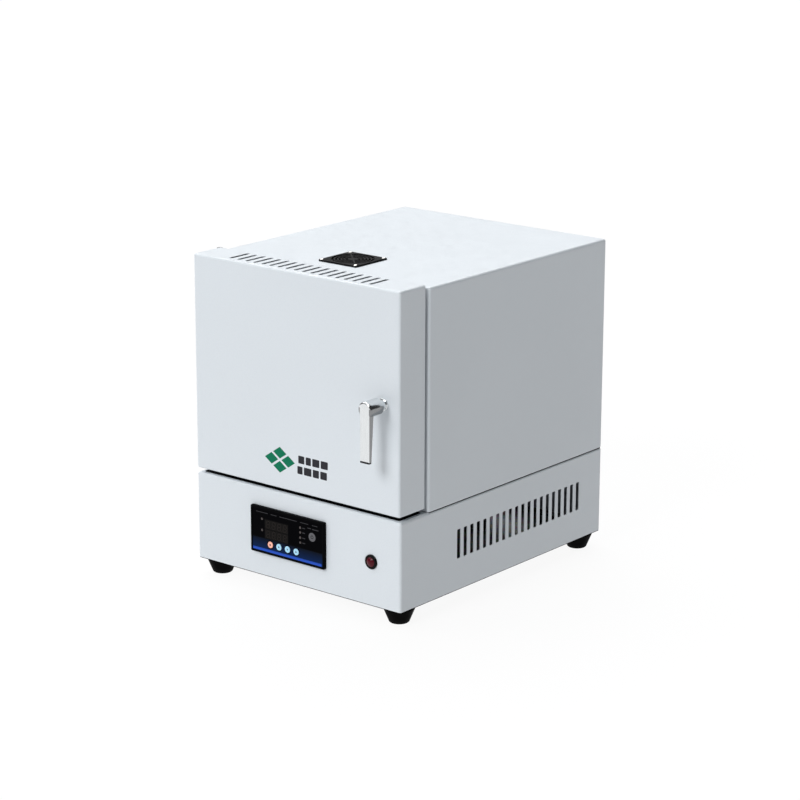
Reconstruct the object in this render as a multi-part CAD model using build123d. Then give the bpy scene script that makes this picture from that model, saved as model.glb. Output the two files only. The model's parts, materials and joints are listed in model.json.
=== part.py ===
from build123d import *
import math
import os

# Benchtop muffle furnace: a control base on four rubber feet, a heated body on top of it, and a
# slab door hinged on the left that covers the whole front of the body.
# Millimetres. X to the right seen from the front, Y to the back, Z up. The origin is under the
# middle of the whole footprint, at the level of the feet's undersides.

# ---- driving dimensions -------------------------------------------------------------------
WIDTH = 440.0             # base and body
HALF = WIDTH / 2
FRONT = -263.0            # plane of the base's front panel and of the door's front
DEPTH = 550.0             # front panel to rear panel
BACK = FRONT + DEPTH
FOOT_HEIGHT = 28.0
FOOT_INSET = 27.0         # foot centre from the side faces
FOOT_FRONT = 30.0         # foot centre from the front and rear faces
BASE_HEIGHT = 150.0
BASE_BOTTOM = FOOT_HEIGHT
BASE_TOP = BASE_BOTTOM + BASE_HEIGHT
SHEET = 1.5               # casing steel
EDGE = 4.5                # outer bend radius of the casing

DOOR_DEPTH = 65.0
DOOR_RIGHT = 217.5
DOOR_BOTTOM = BASE_TOP + 7.0
DOOR_TOP = BASE_BOTTOM + 523.5
DOOR_EDGE = 4.0
DOOR_BACK = FRONT + DOOR_DEPTH
DOOR_COVER = 1.2          # thickness of the plate that closes the door's rear

BODY_FRONT = FRONT + 70.0
BODY_TOP = BASE_BOTTOM + 518.0
PLATE = 1.5               # front plate of the body
PLATE_FRONT = BODY_FRONT + 2.0
BOARD_FRONT = FRONT + 84.0

CHAMBER_HALF = 100.0
CHAMBER_FLOOR = BASE_TOP + 89.0
CHAMBER_TOP = CHAMBER_FLOOR + 180.0
CHAMBER_BACK = FRONT + 392.0
LINER_HALF = 193.0
LINER_BOTTOM = BASE_TOP + 22.0
LINER_TOP = BODY_TOP - 30.0
LINER_BACK = FRONT + 465.0
LINER_SHEET = 1.0

SLOT_LENGTH = 46.0        # door and floor slots
SLOT_WIDTH = 7.0
SLOT_PITCH = 17.4
WALL_SLOT_LENGTH = 50.0   # slots of the base's sides and of the rear panels
WALL_SLOT_WIDTH = 9.5
WALL_SLOT_CORNER = 2.0
SIDE_SLOTS = 20
SIDE_SLOT_MIDDLE = FRONT + 315.0
SIDE_SLOT_HEIGHT = BASE_BOTTOM + 78.0
DOOR_SLOTS = 18
DOOR_SLOT_MIDDLE = FRONT + 34.0

CONTROLLER_X = -15.0
CONTROLLER_Z = BASE_BOTTOM + 79.5
CONTROLLER_W = 160.0
CONTROLLER_H = 80.0
BEZEL_PROUD = 6.0
KEY_RADIUS = 5.6
KEY_FIT = 0.25
KEY_PITCH = 18.8
KEY_DROP = 22.0           # keys below the controller's middle
KEYS = ["controller_key_set", "controller_key_shift", "controller_key_down", "controller_key_up"]

SWITCH_X = 160.0
SWITCH_Z = BASE_BOTTOM + 73.5
SWITCH_COLLAR = 12.2      # radius
SWITCH_PROUD = 3.2
LENS_RADIUS = 8.2
LENS_FIT = 0.2

HANDLE_X = 184.0
HANDLE_Z = BASE_BOTTOM + 338.5
HEAD_RADIUS = 13.5        # round head of the lever
HEAD_GAP = 14.0           # from the door to the head
SPINDLE_RADIUS = 4.0
FIT = 0.05                # radial clearance of a running fit

HINGE_X = -223.0
HINGE_Y = FRONT + 67.0
HINGE_RADIUS = 4.8
HINGE_HEIGHT = 60.0
HINGE_CROWN = 9.0         # how far the knuckles stand above the leaves
HINGE_PIN_RADIUS = 2.5
LEAF = 3.0
LEAF_LENGTH = 44.0
UPPER_HINGE = BODY_TOP - HINGE_HEIGHT + 3.0
LOWER_HINGE = DOOR_BOTTOM + 16.0

FAN_SIZE = 80.0
FAN_Y = FRONT + 145.0
FAN_DEPTH = 25.0
FAN_BORE = 37.5
FAN_SWEEP = 36.0          # radius at the blade tips
FAN_HUB = 17.0
FAN_HOLES = 71.5 / 2

SCREW_RADIUS = 2.0        # M4
SCREW_HEAD = 3.8
SCREW_HEAD_HEIGHT = 2.4
SCREW_LENGTH = 8.0

os.makedirs("parts", exist_ok=True)


# ---- helpers ------------------------------------------------------------------------------
def block(x, y, z):
    """A box given as (low, high) along each axis."""
    middle = Pos(sum(x) / 2, sum(y) / 2, sum(z) / 2)
    return middle * Box(x[1] - x[0], y[1] - y[0], z[1] - z[0])


def rod(radius, start, end):
    """A cylinder from one point to another."""
    way = Vector(*end) - Vector(*start)
    seat = Plane(origin=start, z_dir=way)
    return seat * Cylinder(radius, way.length, align=(Align.CENTER, Align.CENTER, Align.MIN))


def tube(outer, inner, start, end):
    """A round tube from one point to another."""
    return rod(outer, start, end) - rod(inner, start, end)


def rounded(x, y, z, radius, keep_bottom=False):
    """A box with rounded edges, its bottom edges left square if keep_bottom is set."""
    body = block(x, y, z)
    edges = body.edges()
    if keep_bottom:
        edges = edges.filter_by(lambda e: e.center().Z > z[0] + 0.01)
    return fillet(edges, radius)


CUT_DEPTH = 4.0           # reach of a slot cutter each side of its plane


def stadiums(plane, places, length=SLOT_LENGTH):
    """Round-ended slot cutters through a plane, long side along its second axis."""
    shapes = [Pos(u, v) * Rot(0, 0, 90) * SlotOverall(length, SLOT_WIDTH) for u, v in places]
    return [extrude(plane * shape, CUT_DEPTH, both=True) for shape in shapes]


def wall_slots(plane, places):
    """Upright slot cutters with small corner radii through a wall."""
    shape = RectangleRounded(WALL_SLOT_WIDTH, WALL_SLOT_LENGTH, WALL_SLOT_CORNER)
    return [extrude(plane * Pos(u, v) * shape, CUT_DEPTH, both=True) for u, v in places]


def pan_screw(at, way, length=SCREW_LENGTH, radius=SCREW_RADIUS, head=SCREW_HEAD):
    """A domed screw with a hexagon socket. Its head sits on the surface and faces along way."""
    height = SCREW_HEAD_HEIGHT * head / SCREW_HEAD
    profile = Polyline((0, -length), (radius, -length), (radius, 0), (head, 0), (head, height * 0.45))
    profile += ThreePointArc((head, height * 0.45), (head * 0.72, height * 0.88), (0, height))
    profile += Line((0, height), (0, -length))
    body = revolve(make_face(Plane.XZ * profile), Axis.Z)
    socket = Pos(0, 0, height * 0.45) * extrude(RegularPolygon(radius * 0.75, 6), height)
    return Plane(origin=at, z_dir=way) * (body - socket)


def save(name, shape):
    """Write one node, as a group if it is made of separate solids."""
    if isinstance(shape, (list, tuple)):
        solids = [solid for item in shape for solid in item.solids()]
    else:
        solids = shape.solids()
    whole = solids[0] if len(solids) == 1 else Compound(children=list(solids))
    export_step(whole, f"parts/{name}.step")
    return solids


def evenly(count, pitch):
    """Places of a row of equal steps about zero."""
    return [(i - (count - 1) / 2) * pitch for i in range(count)]


# ---- places of the screws -----------------------------------------------------------------
FRONT_PLATE_SCREWS = [(x, z) for x in (-202.5, 202.5) for z in (BASE_TOP + 42, BODY_TOP - 42)]
REAR_PLATE_SCREWS = [(x, z) for x in (-188.0, 0.0, 188.0) for z in (BASE_TOP + 26, BODY_TOP - 26)]
SERVICE_SCREWS = [(x, z) for x in (-144.0, 144.0) for z in (BASE_BOTTOM + 26, BASE_TOP - 26)]
DOOR_SCREWS = [(x, z) for x in (-208.0, 0.0, 204.5) for z in (DOOR_BOTTOM + 11, DOOR_TOP - 11)]
DOOR_SCREWS += [(x, (DOOR_BOTTOM + DOOR_TOP) / 2) for x in (-208.0, 204.5)]
FOOT_PLACES = {
    "rubber_foot_front_left": (-HALF + FOOT_INSET, FRONT + FOOT_FRONT),
    "rubber_foot_front_right": (HALF - FOOT_INSET, FRONT + FOOT_FRONT),
    "rubber_foot_rear_left": (-HALF + FOOT_INSET, BACK - FOOT_FRONT),
    "rubber_foot_rear_right": (HALF - FOOT_INSET, BACK - FOOT_FRONT),
}
FAN_PATTERN = [(x, y) for x in (-FAN_HOLES, FAN_HOLES) for y in (-FAN_HOLES, FAN_HOLES)]
FAN_CORNERS = [(x, FAN_Y + y) for x, y in FAN_PATTERN]
HINGE_BASES = [LOWER_HINGE, UPPER_HINGE]
LEAF_SCREWS = [(reach, rise) for reach in (16.0, 36.0) for rise in (12.0, HINGE_HEIGHT - 21.0)]
HOLE = SCREW_RADIUS + 0.1


# ---- control base -------------------------------------------------------------------------
def key_places():
    """The four keys of the controller, left to right."""
    return [(CONTROLLER_X - 8.8 + step, CONTROLLER_Z - KEY_DROP) for step in evenly(4, KEY_PITCH)]


def make_base_shell():
    """Folded steel box, open below, with the panel cut-outs and the slots down both sides."""
    outer = rounded((-HALF, HALF), (FRONT, BACK), (BASE_BOTTOM, BASE_TOP), EDGE, keep_bottom=True)
    inner_x = (-HALF + SHEET, HALF - SHEET)
    inner_y = (FRONT + SHEET, BACK - SHEET)
    inner = rounded(inner_x, inner_y, (BASE_BOTTOM - 20, BASE_TOP - SHEET), EDGE - SHEET, keep_bottom=True)
    shell = outer - inner
    half_w, half_h = (CONTROLLER_W - 8) / 2, (CONTROLLER_H - 4) / 2
    cuts = [
        block(
            (CONTROLLER_X - half_w, CONTROLLER_X + half_w),
            (FRONT - 5, FRONT + 5),
            (CONTROLLER_Z - half_h, CONTROLLER_Z + half_h),
        ),
        rod(11.0, (SWITCH_X, FRONT - 5, SWITCH_Z), (SWITCH_X, FRONT + 5, SWITCH_Z)),
        block((-130, 130), (BACK - 5, BACK + 5), (BASE_BOTTOM + 20, BASE_TOP - 30)),
        block((-60, 60), (FRONT + 482, FRONT + 530), (BASE_TOP - 5, BASE_TOP + 5)),
    ]
    places = [(SIDE_SLOT_MIDDLE + step, SIDE_SLOT_HEIGHT) for step in evenly(SIDE_SLOTS, SLOT_PITCH)]
    for side in (-1, 1):
        wall = Plane(origin=(side * HALF, 0, 0), x_dir=(0, 1, 0), z_dir=(1, 0, 0))
        cuts += wall_slots(wall, places)
        low, high = sorted((side * 196.0, side * 211.0))
        cuts.append(block((low, high), (FRONT + 150, FRONT + 480), (BASE_TOP - 5, BASE_TOP + 5)))
    for x, z in SERVICE_SCREWS:
        cuts.append(rod(HOLE, (x, BACK - 5, z), (x, BACK + 5, z)))
    return shell - cuts


def make_floor_pan():
    """Shallow tray that closes the base from below and carries the feet."""
    gap = SHEET + 0.2
    tray = block((-HALF + gap, HALF - gap), (FRONT + gap, BACK - gap), (BASE_BOTTOM, BASE_BOTTOM + 12))
    corners = tray.edges().filter_by(Axis.Z)
    tray = fillet(corners, EDGE - SHEET)
    hollow = block(
        (-HALF + gap + SHEET, HALF - gap - SHEET),
        (FRONT + gap + SHEET, BACK - gap - SHEET),
        (BASE_BOTTOM + 2, BASE_BOTTOM + 20),
    )
    hollow = fillet(hollow.edges().filter_by(Axis.Z), EDGE - 2 * SHEET)
    holes = [
        rod(HOLE, (x, y, BASE_BOTTOM - 1), (x, y, BASE_BOTTOM + 5)) for x, y in FOOT_PLACES.values()
    ]
    floor = Plane(origin=(0, 0, BASE_BOTTOM + 1))
    vents = stadiums(floor, [(x, FRONT + 190) for x in evenly(12, SLOT_PITCH)], length=60)
    return tray - hollow - holes - vents


def make_rubber_foot(x, y):
    """Tapered rubber foot, wide at the top, with a well for its screw."""
    side = [(15.0, 0), (16.8, 1.5), (26.0, FOOT_HEIGHT - 4), (26.0, FOOT_HEIGHT)]
    outline = Polyline((0, 0), *side, (0, FOOT_HEIGHT), close=True)
    profile = make_face(Plane.XZ * outline)
    foot = revolve(profile, Axis.Z)
    foot -= rod(8.0, (0, 0, -1), (0, 0, FOOT_HEIGHT - 6))
    foot -= rod(HOLE, (0, 0, 0), (0, 0, FOOT_HEIGHT + 1))
    return Pos(x, y, 0) * foot


GLAND_X = 88.0
GLAND_Z = BASE_BOTTOM + 62.0
GLAND_BORE = 4.5
BREAKER_X = -70.0
BREAKER_W = 36.0
BREAKER_H = 80.0
BREAKER_Z = BASE_BOTTOM + 70.0
BREAKER_WINDOW = 45.0
PANEL_BACK = BACK + SHEET


def make_base_rear_panel():
    """Removable plate behind the base with the breaker window, the cable hole and air slots."""
    plate = block((-152, 152), (BACK, PANEL_BACK), (BASE_BOTTOM + 14, BASE_TOP - 14))
    plate = fillet(plate.edges().filter_by(Axis.Y), 4)
    half_w, half_h = BREAKER_W / 2 + 0.5, BREAKER_WINDOW / 2 + 0.5
    window = block(
        (BREAKER_X - half_w, BREAKER_X + half_w),
        (BACK - 5, BACK + 5),
        (BREAKER_Z - half_h, BREAKER_Z + half_h),
    )
    wall = Plane(origin=(0, BACK, 0), x_dir=(1, 0, 0), z_dir=(0, -1, 0))
    slots = wall_slots(wall, [(x + 10, BREAKER_Z) for x in evenly(5, SLOT_PITCH)])
    cable = rod(10.1, (GLAND_X, BACK - 5, GLAND_Z), (GLAND_X, BACK + 5, GLAND_Z))
    holes = [rod(HOLE, (x, BACK - 5, z), (x, BACK + 5, z)) for x, z in SERVICE_SCREWS]
    return plate - window - slots - cable - holes


def make_cable_gland():
    """Cable gland through the rear panel: body with its flange, dome nut outside, locknut inside."""
    axis = Plane(origin=(GLAND_X, PANEL_BACK, GLAND_Z), z_dir=(0, 1, 0))
    flange = extrude(RegularPolygon(12.5, 6), 5)
    dome = Pos(0, 0, 5) * Cylinder(10.6, 12, align=(Align.CENTER, Align.CENTER, Align.MIN))
    dome = fillet(dome.edges().group_by(Axis.Z)[-1], 4)
    thread = Pos(0, 0, -10) * Cylinder(10.0, 10, align=(Align.CENTER, Align.CENTER, Align.MIN))
    locknut = Pos(0, 0, -SHEET - 5) * extrude(RegularPolygon(13.0, 6), 5)
    through = Pos(0, 0, -20) * Cylinder(GLAND_BORE, 60, align=(Align.CENTER, Align.CENTER, Align.MIN))
    return axis * (flange + dome + thread + locknut - through)


def make_breaker():
    """Two-pole circuit breaker behind the rear panel, its nose through the window."""
    wide = (BREAKER_X - BREAKER_W / 2, BREAKER_X + BREAKER_W / 2)
    case = block(wide, (BACK - 62, BACK - 18), (BREAKER_Z - BREAKER_H / 2, BREAKER_Z + BREAKER_H / 2))
    window = (BREAKER_Z - BREAKER_WINDOW / 2, BREAKER_Z + BREAKER_WINDOW / 2)
    nose = block(wide, (BACK - 18, BACK + 3), window)
    across = (BREAKER_X - 12.5, BREAKER_X + 12.5)
    seat = block(across, (BACK - 8, BACK + 4), (BREAKER_Z - 11, BREAKER_Z + 11))
    pin = rod(1.5 + FIT, (BREAKER_X - 15, BACK - 3, BREAKER_Z), (BREAKER_X + 15, BACK - 3, BREAKER_Z))
    return case + nose - seat - pin


def make_breaker_toggle():
    """Toggle of the breaker on its own short pin, shown switched off."""
    centre = (BREAKER_X, BACK - 3, BREAKER_Z)
    drum = rod(4.5, (BREAKER_X - 12, BACK - 3, BREAKER_Z), (BREAKER_X + 12, BACK - 3, BREAKER_Z))
    arm = block((-12, 12), (0, 14), (-2.2, 2.2))
    arm = Pos(*centre) * Rot(-25, 0, 0) * fillet(arm.edges().filter_by(Axis.X).group_by(Axis.Y)[-1], 1.2)
    pin = rod(1.5, (BREAKER_X - 14.5, BACK - 3, BREAKER_Z), (BREAKER_X + 14.5, BACK - 3, BREAKER_Z))
    return drum + arm + pin


def make_terminal_block():
    """Row of screw clamps on the floor pan."""
    floor = BASE_BOTTOM + 2
    body = block((-20, 70), (BACK - 140, BACK - 118), (floor, floor + 20))
    for step in evenly(8, 10.5):
        for side in (-1, 1):
            x, y = 25 + step, BACK - 129 + side * 5.5
            body -= rod(3.2, (x, y, floor + 8), (x, y, floor + 30))
    return body


def make_heat_sink():
    """Aluminium heat sink standing on the floor pan, fins upright."""
    floor = BASE_BOTTOM + 2
    sink = block((-190, -70), (FRONT + 200, FRONT + 290), (floor, floor + 8))
    for step in evenly(13, 9.0):
        sink += block((-131 + step, -129 + step), (FRONT + 200, FRONT + 290), (floor + 8, floor + 38))
    return sink - block((-156, -104), (FRONT + 212, FRONT + 278), (floor + 8, floor + 60))


def make_relay():
    """Solid-state relay bolted to the heat sink's clear middle."""
    floor = BASE_BOTTOM + 10
    case = rounded((-153, -107), (FRONT + 215, FRONT + 275), (floor, floor + 24), 2)
    wells = [
        block((-130 + x, -118 + x), (FRONT + 245 + y, FRONT + 257 + y), (floor + 16, floor + 30))
        for x in (-18, 6)
        for y in (-26, 14)
    ]
    return case - wells


# ---- controller ---------------------------------------------------------------------------
LEDGE = -BEZEL_PROUD + 2.8     # rear of the window, measured from the front panel


def controller_box(grow, front, back):
    """A box about the controller's middle, smaller than its face by grow on every side."""
    return block(
        (CONTROLLER_X - CONTROLLER_W / 2 + grow, CONTROLLER_X + CONTROLLER_W / 2 - grow),
        (FRONT + front, FRONT + back),
        (CONTROLLER_Z - CONTROLLER_H / 2 + grow, CONTROLLER_Z + CONTROLLER_H / 2 - grow),
    )


def make_controller_bezel():
    """Frame of the controller, lapping over the panel cut-out, with a ledge for the window."""
    frame = controller_box(0, -BEZEL_PROUD, 0)
    frame = fillet(frame.edges().filter_by(Axis.Y), 2.5)
    frame = fillet(frame.edges().group_by(Axis.Y)[0], 1.2)
    return frame - controller_box(3.5, -BEZEL_PROUD - 1, LEDGE) - controller_box(7.0, LEDGE - 1, 1)


def make_controller_window():
    """Glossy front sheet in the frame, bored for the four keys."""
    window = controller_box(3.5, LEDGE - 2.0, LEDGE)
    bores = [
        rod(KEY_RADIUS + KEY_FIT, (x, FRONT - 10, z), (x, FRONT, z)) for x, z in key_places()
    ]
    return window - bores


def make_controller_display():
    """Circuit board with the two display blocks and the key switches' bodies."""
    board = controller_box(7.3, 4.0, 5.6)
    blocks = [
        block(
            (CONTROLLER_X - 48, CONTROLLER_X + 3),
            (FRONT - 3.0, FRONT + 4.0),
            (CONTROLLER_Z + low, CONTROLLER_Z + low + 16),
        )
        for low in (4, -12.5)
    ]
    switches = [block((x - 3, x + 3), (FRONT + 1.0, FRONT + 4), (z - 3, z + 3)) for x, z in key_places()]
    return board + blocks + switches


def make_controller_case():
    """Plastic housing of the controller behind the panel, open to the front."""
    return controller_box(5.0, 0.0, 92.0) - controller_box(7.0, -1.0, 90.0)


def make_key(x, z):
    """One round key: a cap in the window and a stem that reaches the switch behind."""
    rear = FRONT + LEDGE
    cap = rod(KEY_RADIUS, (x, rear - 2.6, z), (x, rear + 0.1, z))
    cap = fillet(cap.edges().group_by(Axis.Y)[0], 0.5)
    flange = rod(KEY_RADIUS + 0.9, (x, rear + 0.1, z), (x, rear + 1.1, z))
    stem = rod(1.6, (x, rear + 1.1, z), (x, FRONT, z))
    return cap + flange + stem


# ---- power switch -------------------------------------------------------------------------
def make_switch_bezel():
    """Round black collar of the power switch, lapping over its hole."""
    a, b = (SWITCH_X, FRONT - SWITCH_PROUD, SWITCH_Z), (SWITCH_X, FRONT, SWITCH_Z)
    collar = rod(SWITCH_COLLAR, a, b)
    collar = chamfer(collar.edges().group_by(Axis.Y)[0], 1.4)
    bore = rod(LENS_RADIUS + LENS_FIT, (SWITCH_X, FRONT - 5, SWITCH_Z), (SWITCH_X, FRONT + 1, SWITCH_Z))
    return collar - bore


def make_switch_body():
    """Threaded body and contact block of the power switch with its fixing nut."""
    x, z = SWITCH_X, SWITCH_Z
    body = rod(10.8, (x, FRONT, z), (x, FRONT + 22, z))
    body += block((x - 12, x + 12), (FRONT + 22, FRONT + 48), (z - 12, z + 12))
    nut = Plane(origin=(x, FRONT + SHEET, z), z_dir=(0, 1, 0)) * extrude(RegularPolygon(15, 6), 4)
    return body + nut - rod(LENS_RADIUS + LENS_FIT, (x, FRONT - 1, z), (x, FRONT + 14, z))


def make_power_button():
    """Domed red lens that is also the push button."""
    stem = rod(LENS_RADIUS, (0, 0, 0), (0, 8.5, 0))
    dome_radius, dome_rise = 11.2, 3.6
    dome = Pos(0, dome_radius - dome_rise, 0) * Sphere(dome_radius)
    dome = dome & rod(LENS_RADIUS, (0, -20, 0), (0, 0.01, 0))
    return Pos(SWITCH_X, FRONT - SWITCH_PROUD + 0.5, SWITCH_Z) * (stem + dome)


# ---- furnace body -------------------------------------------------------------------------
BODY_FOOT_EDGE = 2.5      # bend radius along the body's bottom
LIP_HALF = 195.0
LIP_BOTTOM = BASE_TOP + 25.0
LIP_TOP = BODY_TOP - 25.0


def make_body_shell():
    """Outer casing of the heated body with a turned-in lip round the front, rear and bottom."""
    outer = rounded((-HALF, HALF), (BODY_FRONT, BACK), (BASE_TOP, BODY_TOP), EDGE, keep_bottom=True)
    outer = fillet(outer.edges().group_by(Axis.Z)[0], BODY_FOOT_EDGE)
    inner = rounded(
        (-HALF + SHEET, HALF - SHEET),
        (BODY_FRONT + 2.0, BACK - SHEET),
        (BASE_TOP + SHEET, BODY_TOP - SHEET),
        EDGE - SHEET,
    )
    cuts = [
        block((-LIP_HALF, LIP_HALF), (BODY_FRONT - 5, BODY_FRONT + 5), (LIP_BOTTOM, LIP_TOP)),
        block((-182, 182), (BACK - 5, BACK + 5), (BASE_TOP + 34, BODY_TOP - 34)),
        block((-212, 212), (FRONT + 90, BACK - 12), (BASE_TOP - 5, BASE_TOP + 5)),
        rod(FAN_BORE, (0, FAN_Y, BODY_TOP - 5), (0, FAN_Y, BODY_TOP + 5)),
    ]
    cuts += [rod(HOLE, (x, y, BODY_TOP - 5), (x, y, BODY_TOP + 5)) for x, y in FAN_CORNERS]
    cuts += [rod(HOLE, (x, BODY_FRONT - 5, z), (x, BODY_FRONT + 5, z)) for x, z in FRONT_PLATE_SCREWS]
    cuts += [rod(HOLE, (x, BACK - 5, z), (x, BACK + 5, z)) for x, z in REAR_PLATE_SCREWS]
    cuts += [
        rod(HOLE, (-HALF - 5, HINGE_Y + reach, base + rise), (-HALF + 5, HINGE_Y + reach, base + rise))
        for base in HINGE_BASES
        for reach, rise in LEAF_SCREWS
    ]
    return outer - inner - cuts


def make_front_plate():
    """Stainless plate behind the front lip, open at the chamber mouth and at the latch slot."""
    plate = block((-210, 210), (PLATE_FRONT, PLATE_FRONT + PLATE), (BASE_TOP + 12, BODY_TOP - 10))
    mouth = block(
        (-CHAMBER_HALF - 3, CHAMBER_HALF + 3),
        (PLATE_FRONT - 5, PLATE_FRONT + 5),
        (CHAMBER_FLOOR - 3, CHAMBER_TOP + 3),
    )
    mouth = fillet(mouth.edges().filter_by(Axis.Y), 3)
    hub = rod(10.0, (HANDLE_X, PLATE_FRONT - 5, HANDLE_Z), (HANDLE_X, PLATE_FRONT + 5, HANDLE_Z))
    way = block((HANDLE_X - 7, HANDLE_X + 7), (PLATE_FRONT - 5, PLATE_FRONT + 5), (HANDLE_Z, HANDLE_Z + 34))
    holes = [rod(HOLE, (x, PLATE_FRONT - 5, z), (x, PLATE_FRONT + 5, z)) for x, z in FRONT_PLATE_SCREWS]
    return plate - mouth - hub - way - holes


def make_body_rear_panel():
    """Removable rear plate of the body with two rows of air slots."""
    plate = block((-198, 198), (BACK, PANEL_BACK), (BASE_TOP + 16, BODY_TOP - 16))
    plate = fillet(plate.edges().filter_by(Axis.Y), 5)
    wall = Plane(origin=(0, BACK, 0), x_dir=(1, 0, 0), z_dir=(0, -1, 0))
    rows = (BASE_TOP + 75, BODY_TOP - 75)
    places = [(x, z) for x in evenly(16, SLOT_PITCH) for z in rows]
    holes = [rod(HOLE, (x, BACK - 5, z), (x, BACK + 5, z)) for x, z in REAR_PLATE_SCREWS]
    return plate - wall_slots(wall, places) - holes


HEATER_RUNS = 6
HEATER_PITCH = 26.0
HEATER_RADIUS = 4.0
HEATER_X = CHAMBER_HALF + 3.5
HEATER_FRONT = BOARD_FRONT + 22.0
HEATER_TURN = 10.0
HEATER_END = LINER_BACK + 22.0
TC_Z = CHAMBER_FLOOR + 135.0
TC_RADIUS = 4.0


def heater_path(side):
    """Middle line of one heater: straight runs along Y joined by tight turns, both ends at the back."""
    levels = [(CHAMBER_FLOOR + CHAMBER_TOP) / 2 + step for step in evenly(HEATER_RUNS, HEATER_PITCH)]
    rear = CHAMBER_BACK - 18.0
    points = []
    for number, level in enumerate(levels):
        ends = [rear, HEATER_FRONT] if number % 2 == 0 else [HEATER_FRONT, rear]
        points += [(side * HEATER_X, y, level) for y in ends]
    points[0] = (side * HEATER_X, HEATER_END, levels[0])
    points[-1] = (side * HEATER_X, HEATER_END, levels[-1])
    return FilletPolyline(*points, radius=HEATER_TURN)


def heater_sweep(side, radius):
    """A round bar of a given radius along a heater's middle line."""
    path = heater_path(side)
    start = Plane(origin=path @ 0, z_dir=path % 0)
    return sweep(start * Circle(radius), path=path)


def make_liner():
    """Thin steel box round the insulation, open at the front, pierced for the tails at the back."""
    outer = block((-LINER_HALF, LINER_HALF), (BOARD_FRONT, LINER_BACK), (LINER_BOTTOM, LINER_TOP))
    inner = block(
        (-LINER_HALF + LINER_SHEET, LINER_HALF - LINER_SHEET),
        (BOARD_FRONT - 5, LINER_BACK - LINER_SHEET),
        (LINER_BOTTOM + LINER_SHEET, LINER_TOP - LINER_SHEET),
    )
    return outer - inner - tail_holes(LINER_BACK - 5, 7.0)


def tail_holes(start, radius):
    """Bores for the four heater tails and the thermocouple, from a plane to behind the liner."""
    ends = [(side * HEATER_X, heater_path(side) @ t) for side in (-1, 1) for t in (0, 1)]
    bores = [rod(radius, (x, start, point.Z), (x, LINER_BACK + 5, point.Z)) for x, point in ends]
    bores.append(rod(TC_RADIUS + 0.3, (0, start, TC_Z), (0, LINER_BACK + 5, TC_Z)))
    return bores


def make_boards():
    """Ceramic-fibre boards: floor, roof, two sides with heater grooves, and the rear plug."""
    wide = (-LINER_HALF + LINER_SHEET, LINER_HALF - LINER_SHEET)
    long = (BOARD_FRONT, LINER_BACK - LINER_SHEET)
    low = LINER_BOTTOM + LINER_SHEET
    high = LINER_TOP - LINER_SHEET
    inside = (CHAMBER_FLOOR, CHAMBER_TOP)
    boards = {
        "floor_board": block(wide, long, (low, CHAMBER_FLOOR)),
        "roof_board": block(wide, long, (CHAMBER_TOP, high)),
        "rear_board": block((-CHAMBER_HALF, CHAMBER_HALF), (CHAMBER_BACK, long[1]), inside),
        "left_board": block((wide[0], -CHAMBER_HALF), long, inside),
        "right_board": block((CHAMBER_HALF, wide[1]), long, inside),
    }
    for side, name in ((-1, "left_board"), (1, "right_board")):
        groove = heater_sweep(side, HEATER_RADIUS + 1.5)
        boards[name] -= groove
        boards["rear_board"] -= groove
    boards["rear_board"] -= rod(TC_RADIUS + 0.3, (0, CHAMBER_BACK - 5, TC_Z), (0, LINER_BACK + 5, TC_Z))
    return boards


def make_throat():
    """Hard board frame between the front plate and the chamber, round the mouth."""
    reach = 50.0
    frame = block(
        (-CHAMBER_HALF - reach, CHAMBER_HALF + reach),
        (PLATE_FRONT + PLATE, BOARD_FRONT),
        (CHAMBER_FLOOR - reach, CHAMBER_TOP + reach),
    )
    mouth = block(
        (-CHAMBER_HALF, CHAMBER_HALF),
        (PLATE_FRONT, BOARD_FRONT + 5),
        (CHAMBER_FLOOR, CHAMBER_TOP),
    )
    return frame - mouth


def make_hearth_plate():
    """Loose ceramic plate on the chamber floor, its rim rounded."""
    plate = block(
        (-CHAMBER_HALF + 8, CHAMBER_HALF - 8),
        (BOARD_FRONT + 8, CHAMBER_BACK - 8),
        (CHAMBER_FLOOR, CHAMBER_FLOOR + 10),
    )
    plate = fillet(plate.edges().filter_by(Axis.Z), 8)
    return fillet(plate.edges().group_by(Axis.Z)[-1], 2)


def make_thermocouple():
    """Ceramic sheath through the rear wall with its connection head behind the liner."""
    sheath = rod(TC_RADIUS, (0, CHAMBER_BACK - 40, TC_Z), (0, LINER_BACK + 14, TC_Z))
    sheath = fillet(sheath.edges().group_by(Axis.Y)[0], 3)
    neck = rod(8.0, (0, LINER_BACK + 2, TC_Z), (0, LINER_BACK + 16, TC_Z))
    head = rod(16.0, (0, LINER_BACK + 16, TC_Z), (0, LINER_BACK + 40, TC_Z))
    lid = rod(17.5, (0, LINER_BACK + 36, TC_Z), (0, LINER_BACK + 44, TC_Z))
    return sheath + neck + head + fillet(lid.edges(), 2)


def make_heater_terminals():
    """Four ceramic-bodied clamps on the heater tails behind the liner."""
    clamps = []
    for side in (-1, 1):
        for end in (0, 1):
            z = (heater_path(side) @ end).Z
            x = side * HEATER_X
            body = block((x - 9, x + 9), (LINER_BACK + 6, LINER_BACK + 30), (z - 9, z + 9))
            screw = rod(3.0, (x, LINER_BACK + 18, z + 9), (x, LINER_BACK + 18, z + 13))
            bore = rod(HEATER_RADIUS, (x, LINER_BACK, z), (x, HEATER_END, z))
            clamps.append(fillet(body.edges().filter_by(Axis.Y), 2) + screw - bore)
    return clamps


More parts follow.
